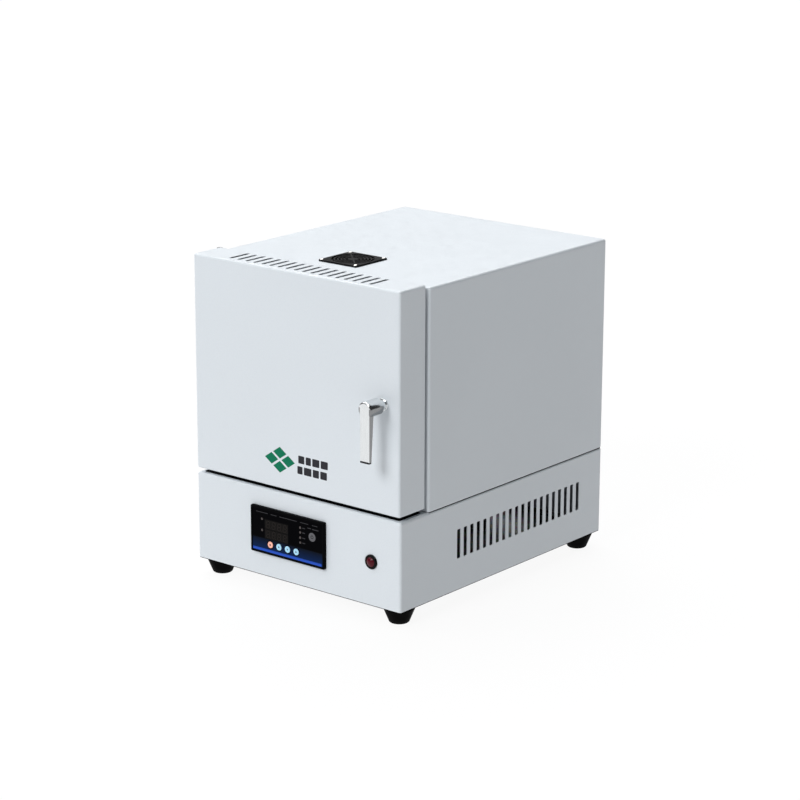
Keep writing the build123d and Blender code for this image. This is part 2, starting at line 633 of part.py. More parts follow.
def make_liner_rails():
    """Two hat-section rails that carry the liner above the base."""
    rails = []
    for y in (FRONT + 130.0, FRONT + 430.0):
        outside = block((-190, 190), (y - 20, y + 20), (BASE_TOP, LINER_BOTTOM))
        inside = block((-195, 195), (y - 18, y + 18), (BASE_TOP - 5, LINER_BOTTOM - 2))
        reaches = ((y - 34, y - 19), (y + 19, y + 34))
        feet = [block((-190, 190), reach, (BASE_TOP, BASE_TOP + 2)) for reach in reaches]
        rails.append(outside - inside + feet)
    return rails


# ---- top fan ------------------------------------------------------------------------------
FAN_TOP = BODY_TOP - SHEET
FAN_LOW = FAN_TOP - FAN_DEPTH
GUARD_HEIGHT = 3.0
AXLE_RADIUS = 1.5


def make_fan_frame():
    """Square fan housing with a round bore, four struts and the hub that holds the axle."""
    half = FAN_SIZE / 2
    frame = block((-half, half), (-half, half), (0, FAN_DEPTH))
    frame = fillet(frame.edges().filter_by(Axis.Z), 3)
    frame -= rod(FAN_BORE, (0, 0, -1), (0, 0, FAN_DEPTH + 1))
    waist = block((-half - 1, half + 1), (-half - 1, half + 1), (4, FAN_DEPTH - 4))
    frame -= waist - rod(FAN_BORE + 1.8, (0, 0, 0), (0, 0, FAN_DEPTH))
    struts = [Rot(0, 0, 45 + 90 * i) * block((14, FAN_BORE + 1), (-2.5, 2.5), (0, 3)) for i in range(4)]
    hub = rod(FAN_HUB, (0, 0, 0), (0, 0, 3.0))
    axle = rod(AXLE_RADIUS, (0, 0, 3.0), (0, 0, 19.0))
    holes = [rod(SCREW_RADIUS, (x, y, -1), (x, y, 40)) for x, y in FAN_PATTERN]
    frame = frame + struts + hub + axle - holes
    return Pos(0, FAN_Y, FAN_LOW) * frame


def make_fan_rotor():
    """Seven-blade impeller on a cup-shaped hub that turns on the axle."""
    hub = rod(FAN_HUB, (0, 0, 3.6), (0, 0, 22.0))
    hub = fillet(hub.edges().group_by(Axis.Z)[-1], 2.5)
    hub -= rod(FAN_HUB - 1.5, (0, 0, 3.0), (0, 0, 10.0))
    hub -= rod(AXLE_RADIUS + FIT, (0, 0, 3.0), (0, 0, 19.5))
    reach = FAN_SWEEP - FAN_HUB + 2.0
    blade = Pos(FAN_SWEEP - reach / 2 + 0.5, 0, 13.0) * Rot(38, 0, 0) * Box(reach + 1.0, 17.0, 1.6)
    ring = tube(FAN_SWEEP, FAN_HUB - 1.0, (0, 0, 0), (0, 0, 25))
    blades = [(Rot(0, 0, i * 360 / 7) * blade) & ring for i in range(7)]
    return Pos(0, FAN_Y, FAN_LOW) * (hub + blades)


def make_fan_guard():
    """Black finger guard on top of the casing: square rim, rings and spokes."""
    half = FAN_SIZE / 2
    rim = block((-half, half), (-half, half), (0, GUARD_HEIGHT))
    rim = fillet(rim.edges().filter_by(Axis.Z), 2)
    rim = fillet(rim.edges().group_by(Axis.Z)[-1], 0.8)
    rim -= rod(FAN_BORE - 2, (0, 0, -1), (0, 0, 10))
    low, high = 0.6, GUARD_HEIGHT - 0.4
    rings = [tube(r + 1.1, r - 1.1, (0, 0, low), (0, 0, high)) for r in (14.0, 19.5, 25.0, 30.5)]
    spoke = block((6, FAN_BORE), (-1.4, 1.4), (low, high))
    spokes = [Rot(0, 0, 45 + 90 * i) * spoke for i in range(4)]
    boss = rod(9.0, (0, 0, low), (0, 0, high))
    seats = [rod(SCREW_HEAD + 0.4, (x, y, GUARD_HEIGHT - 1.2), (x, y, 10)) for x, y in FAN_PATTERN]
    holes = [rod(HOLE, (x, y, -1), (x, y, 10)) for x, y in FAN_PATTERN]
    return Pos(0, FAN_Y, BODY_TOP) * (rim + rings + spokes + boss - seats - holes)


# ---- door ---------------------------------------------------------------------------------
TRAY_HALF = 152.0
TRAY_REACH = 52.0
PLUG_GAP = 4.0


def make_door_shell():
    """Folded steel door box, slotted along its top and bottom, with a lip round its open rear."""
    x, y, z = (-HALF, DOOR_RIGHT), (FRONT, DOOR_BACK), (DOOR_BOTTOM, DOOR_TOP)
    outer = rounded(x, y, z, DOOR_EDGE)
    inner = rounded(
        (x[0] + SHEET, x[1] - SHEET),
        (y[0] + SHEET, y[1] - SHEET),
        (z[0] + SHEET, z[1] - SHEET),
        DOOR_EDGE - SHEET,
    )
    opening = block((x[0] + 17, x[1] - 17), (DOOR_BACK - 5, DOOR_BACK + 5), (z[0] + 17, z[1] - 17))
    cuts = [opening]
    places = [(step, DOOR_SLOT_MIDDLE) for step in evenly(DOOR_SLOTS, SLOT_PITCH)]
    for height in (DOOR_BOTTOM, DOOR_TOP):
        cuts += stadiums(Plane(origin=(0, 0, height)), places)
    cuts.append(rod(7.1, (HANDLE_X, FRONT - 5, HANDLE_Z), (HANDLE_X, FRONT + 5, HANDLE_Z)))
    cuts += [rod(HOLE, (sx, DOOR_BACK - 5, sz), (sx, DOOR_BACK + 5, sz)) for sx, sz in DOOR_SCREWS]
    cuts += [
        rod(HOLE, (-HALF - 5, HINGE_Y - reach, base + rise), (-HALF + 5, HINGE_Y - reach, base + rise))
        for base in HINGE_BASES
        for reach, rise in LEAF_SCREWS
    ]
    return outer - inner - cuts


def make_door_back_plate():
    """Stainless plate over the door's rear, open for the plug and bored for the spindle."""
    back = DOOR_BACK + DOOR_COVER
    plate = block((-HALF + 6, DOOR_RIGHT - 6), (DOOR_BACK, back), (DOOR_BOTTOM + 5, DOOR_TOP - 5))
    plate = fillet(plate.edges().filter_by(Axis.Y), 4)
    mouth = block(
        (-CHAMBER_HALF - 1, CHAMBER_HALF + 1),
        (DOOR_BACK - 5, DOOR_BACK + 5),
        (CHAMBER_FLOOR - 1, CHAMBER_TOP + 1),
    )
    bore = rod(SPINDLE_RADIUS + FIT, (HANDLE_X, DOOR_BACK - 5, HANDLE_Z), (HANDLE_X, DOOR_BACK + 5, HANDLE_Z))
    holes = [rod(HOLE, (x, DOOR_BACK - 5, z), (x, DOOR_BACK + 5, z)) for x, z in DOOR_SCREWS]
    return plate - mouth - bore - holes


def make_door_tray():
    """Sheet tray inside the door that holds the plug against the rear plate."""
    z = (CHAMBER_FLOOR - TRAY_REACH, CHAMBER_TOP + TRAY_REACH)
    outer = block((-TRAY_HALF, TRAY_HALF), (FRONT + 12, DOOR_BACK), z)
    inner = block((-TRAY_HALF + 1, TRAY_HALF - 1), (FRONT + 13, DOOR_BACK + 5), (z[0] + 1, z[1] - 1))
    return outer - inner


def make_door_plug():
    """Ceramic-fibre block in the tray, stepped so that its nose fills the chamber mouth."""
    z = (CHAMBER_FLOOR - TRAY_REACH + 1, CHAMBER_TOP + TRAY_REACH - 1)
    slab = block((-TRAY_HALF + 1, TRAY_HALF - 1), (FRONT + 13, DOOR_BACK), z)
    half = CHAMBER_HALF - PLUG_GAP
    nose = block((-half, half), (DOOR_BACK, BOARD_FRONT), (CHAMBER_FLOOR + PLUG_GAP, CHAMBER_TOP - PLUG_GAP))
    nose = fillet(nose.edges().group_by(Axis.Y)[-1], 3)
    return slab + nose


def make_door_gasket():
    """Fibre rope seal, one flat-backed loop round the mouth."""
    middle = (CHAMBER_FLOOR + CHAMBER_TOP) / 2
    seat = Plane(origin=(0, DOOR_BACK + DOOR_COVER, middle), x_dir=(-1, 0, 0), z_dir=(0, 1, 0))
    tall = CHAMBER_TOP - CHAMBER_FLOOR
    loop = RectangleRounded(2 * CHAMBER_HALF + 62, tall + 62, 22)
    loop -= RectangleRounded(2 * CHAMBER_HALF + 38, tall + 38, 10)
    rope = extrude(loop, 5.5)
    rope = fillet(rope.edges().group_by(Axis.Z)[-1], 3.5)
    return seat * rope


def make_rosette():
    """Flanged collar on the door's face with the bush that guides the spindle."""
    x, z = HANDLE_X, HANDLE_Z
    collar = rod(8.5, (x, FRONT - HEAD_GAP + 0.4, z), (x, FRONT, z))
    flange = rod(10.5, (x, FRONT - 3, z), (x, FRONT, z))
    flange = fillet(flange.edges().group_by(Axis.Y)[0], 1.2)
    bush = rod(7.0, (x, FRONT, z), (x, FRONT + 10, z))
    return collar + flange + bush - rod(SPINDLE_RADIUS + FIT, (x, FRONT - 20, z), (x, FRONT + 20, z))


LEVER_BOTTOM = BASE_BOTTOM + 252.5
LEVER_FRONT = FRONT - 46.0
LEVER_WIDTH = 19.0
CAP_THICK = 2.0


def make_lever():
    """Lever with a round head on the spindle and a tapered blade hanging in front of the door."""
    front, width = LEVER_FRONT, LEVER_WIDTH
    bottom = LEVER_BOTTOM + CAP_THICK
    side = Polyline(
        (front, bottom),
        (front + 6.0, bottom),
        (front + 11.0, HANDLE_Z - 9.0),
        (front + 11.0, HANDLE_Z),
        (front, HANDLE_Z),
        close=True,
    )
    blade = extrude(make_face(Plane.YZ * side), width / 2, both=True)
    blade = fillet(blade.edges().filter_by(lambda e: e.center().Y < front + 0.5), 1.8)
    blade = Pos(HANDLE_X, 0, 0) * blade
    head = rod(HEAD_RADIUS, (HANDLE_X, front, HANDLE_Z), (HANDLE_X, FRONT - HEAD_GAP, HANDLE_Z))
    head = fillet(head.edges().group_by(Axis.Y)[0], 3.5)
    head = fillet(head.edges().group_by(Axis.Y)[-1], 1.0)
    bore = rod(SPINDLE_RADIUS, (HANDLE_X, front + 6, HANDLE_Z), (HANDLE_X, FRONT, HANDLE_Z))
    return blade + head - bore


def make_end_cap():
    """Black plastic cap pressed on the lever's lower end."""
    half = LEVER_WIDTH / 2
    top = LEVER_BOTTOM + CAP_THICK
    cap = block((-half, half), (LEVER_FRONT, LEVER_FRONT + 6.5), (LEVER_BOTTOM, top))
    cap = fillet(cap.edges().filter_by(Axis.Z), 1.6)
    return Pos(HANDLE_X, 0, 0) * cap


CAM_FRONT = PLATE_FRONT + PLATE + 2.0
CAM_THICK = 4.5


def make_spindle():
    """Steel spindle from the lever to the latch cam."""
    return rod(SPINDLE_RADIUS, (HANDLE_X, FRONT - 40, HANDLE_Z), (HANDLE_X, CAM_FRONT + CAM_THICK, HANDLE_Z))


def make_cam():
    """Latch cam on the spindle's end: a bar that turns behind the front plate."""
    near, far = (HANDLE_X, CAM_FRONT, HANDLE_Z), (HANDLE_X, CAM_FRONT + CAM_THICK, HANDLE_Z)
    arm = block(
        (HANDLE_X - 5, HANDLE_X + 5),
        (CAM_FRONT, CAM_FRONT + CAM_THICK),
        (HANDLE_Z, HANDLE_Z + 29),
    )
    arm = fillet(arm.edges().filter_by(Axis.Y).group_by(Axis.Z)[-1], 3)
    return rod(8.5, near, far) + arm - rod(SPINDLE_RADIUS, near, far)


# ---- hinges -------------------------------------------------------------------------------
def hinge_leaf(base, way, low, high, bore):
    """One leaf: a plate on the side of the casing and its share of the knuckle."""
    wide = (HINGE_X, HINGE_X + LEAF)
    leaf_top = base + HINGE_HEIGHT - HINGE_CROWN
    inner, outer = HINGE_Y + way * HINGE_RADIUS * 0.5, HINGE_Y + way * LEAF_LENGTH
    root = block(wide, sorted((inner, outer)), (base + low, min(base + high, leaf_top)))
    wing = block(wide, sorted((HINGE_Y + way * 9, outer)), (base, leaf_top))
    wing = fillet(wing.edges().filter_by(Axis.X), 3)
    knuckle = rod(HINGE_RADIUS, (HINGE_X, HINGE_Y, base + low), (HINGE_X, HINGE_Y, base + high))
    leaf = root + wing + knuckle
    leaf -= rod(bore, (HINGE_X, HINGE_Y, base - 5), (HINGE_X, HINGE_Y, base + HINGE_HEIGHT + 5))
    for reach, rise in LEAF_SCREWS:
        y, z = HINGE_Y + way * reach, base + rise
        leaf -= rod(HOLE, (HINGE_X - 5, y, z), (HINGE_X + 5, y, z))
    return leaf


def make_hinges():
    """Lift-off hinges: the lower knuckle is the body's and holds the pin, the upper the door's."""
    half = HINGE_HEIGHT / 2
    fixed = [hinge_leaf(base, 1, 0, half - 0.3, HINGE_PIN_RADIUS) for base in HINGE_BASES]
    moving = [hinge_leaf(base, -1, half + 0.3, HINGE_HEIGHT, HINGE_PIN_RADIUS + FIT) for base in HINGE_BASES]
    pins = [
        rod(HINGE_PIN_RADIUS, (HINGE_X, HINGE_Y, base + 2), (HINGE_X, HINGE_Y, base + HINGE_HEIGHT - 1))
        for base in HINGE_BASES
    ]
    return fixed, moving, pins


def leaf_screws(way):
    """The M4 screws of the leaves on one side of the hinge line."""
    return [
        pan_screw((HINGE_X, HINGE_Y + way * reach, base + rise), (-1, 0, 0))
        for base in HINGE_BASES
        for reach, rise in LEAF_SCREWS
    ]


# ---- wiring -------------------------------------------------------------------------------
def make_heater_leads():
    """Four silicone-covered leads from the heater clamps down through the base to the relay."""
    leads = []
    drops = {(-1, 0): -24.0, (-1, 1): -36.0, (1, 0): 36.0, (1, 1): 24.0}
    for (side, end), x_drop in drops.items():
        z = (heater_path(side) @ end).Z
        x = side * HEATER_X
        back = LINER_BACK + (42.0 if end == 0 else 56.0)
        points = [
            (x, LINER_BACK + 30.0, z),
            (x, back, z),
            (x_drop, back, BASE_TOP + 40.0),
            (x_drop, back, BASE_BOTTOM + 60.0),
            (x_drop, BACK - 180.0, BASE_BOTTOM + 60.0),
        ]
        path = FilletPolyline(*points, radius=[5.5, 14.0, 14.0])
        start = Plane(origin=path @ 0, z_dir=path % 0)
        leads.append(sweep(start * Circle(2.0), path=path))
    return leads


# ---- write everything ---------------------------------------------------------------------
save("base_shell", make_base_shell())
save("base_floor_pan", make_floor_pan())
save("base_rear_panel", make_base_rear_panel())
for foot_name, (foot_x, foot_y) in FOOT_PLACES.items():
    save(foot_name, make_rubber_foot(foot_x, foot_y))
save("cable_gland", make_cable_gland())
save("circuit_breaker", make_breaker())
save("breaker_toggle", make_breaker_toggle())
save("terminal_block", make_terminal_block())
save("heat_sink", make_heat_sink())
save("solid_state_relay", make_relay())

save("controller_bezel", make_controller_bezel())
save("controller_window", make_controller_window())
save("controller_display", make_controller_display())
save("controller_case", make_controller_case())
for key_name, (key_x, key_z) in zip(KEYS, key_places()):
    save(key_name, make_key(key_x, key_z))
save("power_switch_bezel", make_switch_bezel())
save("power_switch_body", make_switch_body())
save("power_button", make_power_button())

save("body_shell", make_body_shell())
save("front_plate", make_front_plate())
save("body_rear_panel", make_body_rear_panel())
save("inner_liner", make_liner())
for board_name, board in make_boards().items():
    save(board_name, board)
save("throat_frame", make_throat())
save("hearth_plate", make_hearth_plate())
save("left_heater", heater_sweep(-1, HEATER_RADIUS))
save("right_heater", heater_sweep(1, HEATER_RADIUS))
save("heater_terminals", make_heater_terminals())
save("thermocouple", make_thermocouple())
save("liner_rails", make_liner_rails())
save("heater_leads", make_heater_leads())

save("fan_frame", make_fan_frame())
save("fan_rotor", make_fan_rotor())
save("fan_guard", make_fan_guard())

save("door_shell", make_door_shell())
save("door_back_plate", make_door_back_plate())
save("door_tray", make_door_tray())
save("door_plug", make_door_plug())
save("door_gasket", make_door_gasket())
save("handle_rosette", make_rosette())
save("handle_lever", make_lever())
save("handle_end_cap", make_end_cap())
save("handle_spindle", make_spindle())
save("latch_cam", make_cam())

body_leaves, door_leaves, hinge_pins = make_hinges()
save("hinge_leaves_body", body_leaves)
save("hinge_leaves_door", door_leaves)
save("hinge_pins", hinge_pins)

door_screws = [pan_screw((x, DOOR_BACK + DOOR_COVER, z), (0, 1, 0)) for x, z in DOOR_SCREWS]
save("door_screws", door_screws + leaf_screws(-1))
casing_screws = [pan_screw((x, BODY_FRONT, z), (0, -1, 0)) for x, z in FRONT_PLATE_SCREWS]
casing_screws += [pan_screw((x, PANEL_BACK, z), (0, 1, 0)) for x, z in REAR_PLATE_SCREWS + SERVICE_SCREWS]
save("casing_screws", casing_screws + leaf_screws(1))
under_foot = FOOT_HEIGHT - 6
foot_screws = [pan_screw((x, y, under_foot), (0, 0, -1), length=12.0) for x, y in FOOT_PLACES.values()]
on_guard = BODY_TOP + GUARD_HEIGHT - 1.2
fan_screws = [pan_screw((x, y, on_guard), (0, 0, 1), length=9.0) for x, y in FAN_CORNERS]
save("foot_and_fan_screws", foot_screws + fan_screws)
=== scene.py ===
import json
import math

import bpy
from mathutils import Matrix, Vector


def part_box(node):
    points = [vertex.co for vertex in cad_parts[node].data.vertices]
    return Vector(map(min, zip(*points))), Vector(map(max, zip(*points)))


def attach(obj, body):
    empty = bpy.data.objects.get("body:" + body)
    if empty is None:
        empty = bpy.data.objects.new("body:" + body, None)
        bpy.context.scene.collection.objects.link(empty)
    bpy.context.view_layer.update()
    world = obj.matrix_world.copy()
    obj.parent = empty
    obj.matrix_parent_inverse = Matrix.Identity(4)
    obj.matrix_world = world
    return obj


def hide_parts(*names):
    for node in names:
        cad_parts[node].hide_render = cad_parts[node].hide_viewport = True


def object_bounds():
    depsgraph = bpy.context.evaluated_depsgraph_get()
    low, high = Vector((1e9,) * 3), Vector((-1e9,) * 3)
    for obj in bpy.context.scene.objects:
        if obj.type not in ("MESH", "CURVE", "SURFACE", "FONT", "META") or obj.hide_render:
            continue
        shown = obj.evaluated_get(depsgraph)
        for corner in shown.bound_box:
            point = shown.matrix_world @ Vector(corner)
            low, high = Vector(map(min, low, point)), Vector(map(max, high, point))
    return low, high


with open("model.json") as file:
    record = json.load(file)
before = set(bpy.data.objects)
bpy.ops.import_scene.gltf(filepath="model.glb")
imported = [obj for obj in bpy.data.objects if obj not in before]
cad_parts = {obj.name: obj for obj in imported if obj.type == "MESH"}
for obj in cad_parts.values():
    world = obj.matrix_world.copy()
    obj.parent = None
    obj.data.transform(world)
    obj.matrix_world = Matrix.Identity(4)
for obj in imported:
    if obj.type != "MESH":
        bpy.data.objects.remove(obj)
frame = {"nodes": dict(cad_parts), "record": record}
CAD_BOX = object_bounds()
MM = 0.001
TURN = 2 * math.pi


# ---- camera and light ---------------------------------------------------------------------
CAMERA_AZIMUTH = math.radians(39.18)
CAMERA_ELEVATION = math.radians(15.51)
CAMERA_ROLL = math.radians(0.16)
CAMERA_DISTANCE = 4.422
CAMERA_LENS = 117.75
AIM_FROM_MIDDLE = Vector((0.0045, 0.0053, 0.0084))
VIEW_DEPTH = 200.0

ROOM_LIGHT = 0.03
ROOM_COLOUR = (0.95, 0.97, 1.0, 1)
WHITE = (1, 1, 1)
# Each sun's name, the direction it stands in, its strength, and its soft disc in degrees.
SUNS = [
    ("key", (-0.02, -1.0, 0.72), 1.75, 26),
    ("left", (-0.61, -0.25, 0.73), 1.0, 50),
    ("back", (-0.55, 0.6, 0.95), 2.0, 50),
    ("overhead", (-0.05, 0.10, 1.7), 0.6, 60),
]


def make_camera():
    """Camera at the viewing angle, aimed near the middle of the object's box."""
    low, high = CAD_BOX
    aim = (low + high) / 2 + AIM_FROM_MIDDLE
    flat = math.cos(CAMERA_ELEVATION)
    back = Vector((
        math.sin(CAMERA_AZIMUTH) * flat,
        -math.cos(CAMERA_AZIMUTH) * flat,
        math.sin(CAMERA_ELEVATION),
    ))
    data = bpy.data.cameras.new("camera")
    data.lens = CAMERA_LENS
    data.clip_end = VIEW_DEPTH
    camera = bpy.data.objects.new("camera", data)
    bpy.context.scene.collection.objects.link(camera)
    place = Matrix.Translation(aim + back * CAMERA_DISTANCE)
    turn = (-back).to_track_quat("-Z", "Y").to_matrix().to_4x4()
    camera.matrix_world = place @ turn @ Matrix.Rotation(CAMERA_ROLL, 4, "Z")
    bpy.context.scene.camera = camera


def sun(name, towards, strength, spread):
    """An even light that comes from one direction."""
    data = bpy.data.lights.new(name, "SUN")
    data.energy = strength
    data.angle = math.radians(spread)
    light = bpy.data.objects.new(name, data)
    bpy.context.scene.collection.objects.link(light)
    light.rotation_mode = "QUATERNION"
    light.rotation_quaternion = Vector(towards).to_track_quat("Z", "Y")


def make_world():
    """A dim even room that looks white where it is seen behind the floor's far edge."""
    world = bpy.data.worlds.new("studio")
    world.use_nodes = True
    tree = world.node_tree
    room = tree.nodes["Background"]
    room.inputs["Color"].default_value = ROOM_COLOUR
    room.inputs["Strength"].default_value = ROOM_LIGHT
    backdrop = tree.nodes.new("ShaderNodeBackground")
    backdrop.inputs["Color"].default_value = (*WHITE, 1)
    seen = tree.nodes.new("ShaderNodeLightPath").outputs["Is Camera Ray"]
    chosen = tree.nodes.new("ShaderNodeMixShader")
    tree.links.new(seen, chosen.inputs[0])
    tree.links.new(room.outputs[0], chosen.inputs[1])
    tree.links.new(backdrop.outputs[0], chosen.inputs[2])
    tree.links.new(chosen.outputs[0], tree.nodes["World Output"].inputs["Surface"])
    bpy.context.scene.world = world


def make_lights():
    """The room's light and the soft suns, shown without a film look."""
    make_world()
    for name, towards, strength, spread in SUNS:
        sun(name, towards, strength, spread)
    bpy.context.scene.view_settings.view_transform = "Standard"


# ---- materials ----------------------------------------------------------------------------
# Noise values mostly lie between these two.
DIPS, CRESTS = 0.3, 0.7


class Finish:
    """A Principled material whose texture nodes are added one call at a time."""

    def __init__(self, name, colour, rough, metal=0.0, specular=0.5):
        self.material = bpy.data.materials.new(name)
        self.material.use_nodes = True
        self.tree = self.material.node_tree
        self.shader = self.tree.nodes["Principled BSDF"]
        self.set("Base Color", (*colour, 1))
        self.set("Roughness", rough)
        self.set("Metallic", metal)
        self.set("Specular IOR Level", specular)
        self.place = self.add("ShaderNodeTexCoord").outputs["Object"]
        self.height = None

    def set(self, socket, value):
        self.shader.inputs[socket].default_value = value

    def link(self, source, target):
        self.tree.links.new(source, target)

    def add(self, kind, **settings):
        node = self.tree.nodes.new(kind)
        for key, value in settings.items():
            setattr(node, key, value)
        return node

    def math(self, operation, first, second=0.0, clamp=False):
        """One Math node on two sockets or numbers."""
        node = self.add("ShaderNodeMath", operation=operation, use_clamp=clamp)
        for socket, value in zip(node.inputs, (first, second)):
            if isinstance(value, (int, float)):
                socket.default_value = value
            else:
                self.link(value, socket)
        return node.outputs[0]

    def axes(self):
        """The three coordinates of the surface point in the part's frame, in metres."""
        node = self.add("ShaderNodeSeparateXYZ")
        self.link(self.place, node.inputs[0])
        return node.outputs["X"], node.outputs["Y"], node.outputs["Z"]

    def stretched(self, stretch):
        """The part's coordinates multiplied along each axis."""
        node = self.add("ShaderNodeVectorMath", operation="MULTIPLY")
        self.link(self.place, node.inputs[0])
        node.inputs[1].default_value = stretch
        return node.outputs[0]

    def noise(self, scale, detail=3.0, rough=0.5, stretch=(1, 1, 1)):
        """Noise with scale features in each metre."""
        node = self.add("ShaderNodeTexNoise")
        node.inputs["Scale"].default_value = scale
        node.inputs["Detail"].default_value = detail
        node.inputs["Roughness"].default_value = rough
        self.link(self.stretched(stretch), node.inputs["Vector"])
        return node.outputs["Fac"]

    def cells(self, scale, output="Distance"):
        """Cell pattern with scale cells in each metre."""
        node = self.add("ShaderNodeTexVoronoi", feature="F1")
        node.inputs["Scale"].default_value = scale
        self.link(self.place, node.inputs["Vector"])
        return node.outputs[output]

    def ramp(self, source, *stops):
        """Colours at places from 0 to 1 along a value. Each stop is (place, colour)."""
        node = self.add("ShaderNodeValToRGB")
        elements = node.color_ramp.elements
        while len(elements) < len(stops):
            elements.new(0.5)
        for element, (place, colour) in zip(elements, stops):
            element.position = place
            element.color = (*colour, 1)
        self.link(source, node.inputs["Fac"])
        return node.outputs["Color"]

    def between(self, source, low, high):
        """The middle span of a noise value spread over low to high."""
        node = self.add("ShaderNodeMapRange")
        spans = {"From Min": DIPS, "From Max": CRESTS, "To Min": low, "To Max": high}
        for socket, value in spans.items():
            node.inputs[socket].default_value = value
        self.link(source, node.inputs["Value"])
        return node.outputs["Result"]

    def mottle(self, source, dark, bright):
        """A colour that runs from dark to bright over the middle span of a noise value."""
        return self.ramp(source, (DIPS, dark), (CRESTS, bright))

    def mix(self, share, first, second, blend="MIX"):
        """Two colours mixed, each a socket or a plain colour."""
        node = self.add("ShaderNodeMix", data_type="RGBA", blend_type=blend)
        sockets = (node.inputs[0], node.inputs[6], node.inputs[7])
        for socket, value in zip(sockets, (share, first, second)):
            if isinstance(value, tuple):
                socket.default_value = (*value, 1)
            elif isinstance(value, (int, float)):
                socket.default_value = value
            else:
                self.link(value, socket)
        return node.outputs[2]

    def colour(self, source):
        self.link(source, self.shader.inputs["Base Color"])

    def roughness(self, source, low, high):
        self.link(self.between(source, low, high), self.shader.inputs["Roughness"])

    def bump(self, source, depth, strength):
        """Relief of a given depth in metres, on top of any relief before it."""
        node = self.add("ShaderNodeBump")
        node.inputs["Strength"].default_value = strength
        node.inputs["Distance"].default_value = depth
        self.link(source, node.inputs["Height"])
        if self.height is not None:
            self.link(self.height, node.inputs["Normal"])
        self.height = node.outputs["Normal"]
        self.link(self.height, self.shader.inputs["Normal"])


def shade(colour, factor):
    """A colour made darker or lighter."""
    return tuple(min(1.0, part * factor) for part in colour)


def powder_coat():
    """Satin white powder coat: fine orange peel and a little uneven gloss."""
    white = (0.66, 0.705, 0.745)
    f = Finish("powder_coat", white, 0.42, specular=0.45)
    drift = f.noise(3.5, 2.0)
    grain = f.noise(900.0, 2.0)
    tone = f.mottle(drift, shade(white, 0.985), shade(white, 1.012))
    speck = f.ramp(grain, (0.25, (0.955, 0.955, 0.96)), (0.55, WHITE))
    f.colour(f.mix(1.0, tone, speck, "MULTIPLY"))
    f.roughness(f.noise(60.0, 4.0), 0.36, 0.50)
    f.bump(f.noise(420.0, 3.0), 0.06 * MM, 0.55)
    f.bump(f.noise(1600.0, 1.0), 0.03 * MM, 0.35)
    return f.material


TEMPER_REACH = 62.5 * MM
TEMPER_DRIFT = 18 * MM


def temper_colours(f, half_width, half_height, middle):
    """Blue, brown and straw colours that fade out with the distance from a hot mouth."""
    x, _, z = f.axes()
    beside = f.math("SUBTRACT", f.math("ABSOLUTE", x), half_width)
    above = f.math("SUBTRACT", f.math("ABSOLUTE", f.math("SUBTRACT", z, middle)), half_height)
    away = f.math("MAXIMUM", beside, above)
    cloud = f.math("MULTIPLY", f.math("SUBTRACT", f.noise(28.0, 4.0), 0.5), TEMPER_DRIFT)
    return f.ramp(
        f.math("MULTIPLY", f.math("ADD", away, cloud), 1 / TEMPER_REACH, clamp=True),
        (0.02, (0.42, 0.43, 0.50)),
        (0.14, (0.46, 0.38, 0.36)),
        (0.32, (0.72, 0.58, 0.40)),
        (0.62, (0.93, 0.87, 0.76)),
        (0.95, WHITE),
    )


def brushed(name, colour, rough, along, heat=None):
    """Metal brushed along one axis. heat is the chamber_mouth() that gives it temper colours."""
    f = Finish(name, colour, rough, metal=1.0)
    stretch = tuple(0.02 if axis == along else 1.0 for axis in "xyz")
    grain = f.noise(2600.0, 4.0, 0.7, stretch)
    tone = f.mottle(grain, shade(colour, 0.82), shade(colour, 1.1))
    if heat:
        tone = f.mix(1.0, tone, temper_colours(f, *heat), "MULTIPLY")
    f.colour(tone)
    f.roughness(grain, rough * 0.75, rough * 1.35)
    f.bump(grain, 0.02 * MM, 0.5)
    return f.material


def zinc(name="zinc_sheet", colour=(0.60, 0.61, 0.63)):
    """Zinc-plated sheet with faint spangle."""
    f = Finish(name, colour, 0.38, metal=1.0)
    spangle = f.cells(90.0, output="Color")
    soft = f.noise(14.0, 3.0)
    f.colour(f.mix(0.10, f.mottle(soft, shade(colour, 0.88), shade(colour, 1.08)), spangle))
    f.roughness(soft, 0.30, 0.48)
    f.bump(f.noise(700.0), 0.03 * MM, 0.4)
    return f.material


def plated(name, colour, rough):
    """Smooth plated metal with faint handling marks."""
    f = Finish(name, colour, rough, metal=1.0)
    marks = f.noise(110.0, 5.0, 0.65)
    f.colour(f.mottle(marks, shade(colour, 0.93), shade(colour, 1.03)))
    f.roughness(marks, rough * 0.8, rough * 1.35)
    f.bump(f.noise(1400.0, 2.0), 0.01 * MM, 0.4)
    return f.material


CHROME = (0.77, 0.79, 0.80)
FLANK_SHADE = (0.25, 0.255, 0.26)
# How fast the painted shade on the sides sets in, across the lever and down its neck, for each
# metre.
SIDE_EDGE, NECK_EDGE = 2500.0, 700.0


def polished(name, flank=None):
    """Polished chrome. flank is the middle X, the half width, and the height below which what
    stands further to the side is painted darker: painted shade for the dark reflection in its
    sides."""
    f = Finish(name, CHROME, 0.16, metal=1.0)
    grain = f.noise(1500.0, 3.0, 0.6, (1, 1, 0.05))
    tone = f.mottle(grain, shade(CHROME, 0.95), shade(CHROME, 1.03))
    if flank:
        middle, half_width, height = flank
        x, _, z = f.axes()
        beside = f.math("ABSOLUTE", f.math("SUBTRACT", x, middle))
        side = f.math("MULTIPLY", f.math("SUBTRACT", beside, half_width), SIDE_EDGE, clamp=True)
        below = f.math("MULTIPLY", f.math("SUBTRACT", height, z), NECK_EDGE, clamp=True)
        # Painted shade: the sides are darkened to stand in for the dark reflection they would show.
        tone = f.mix(f.math("MULTIPLY", side, below), tone, FLANK_SHADE)
    f.colour(tone)
    f.roughness(f.noise(60.0, 3.0), 0.14, 0.22)
    f.bump(grain, 0.003 * MM, 0.3)
    return f.material


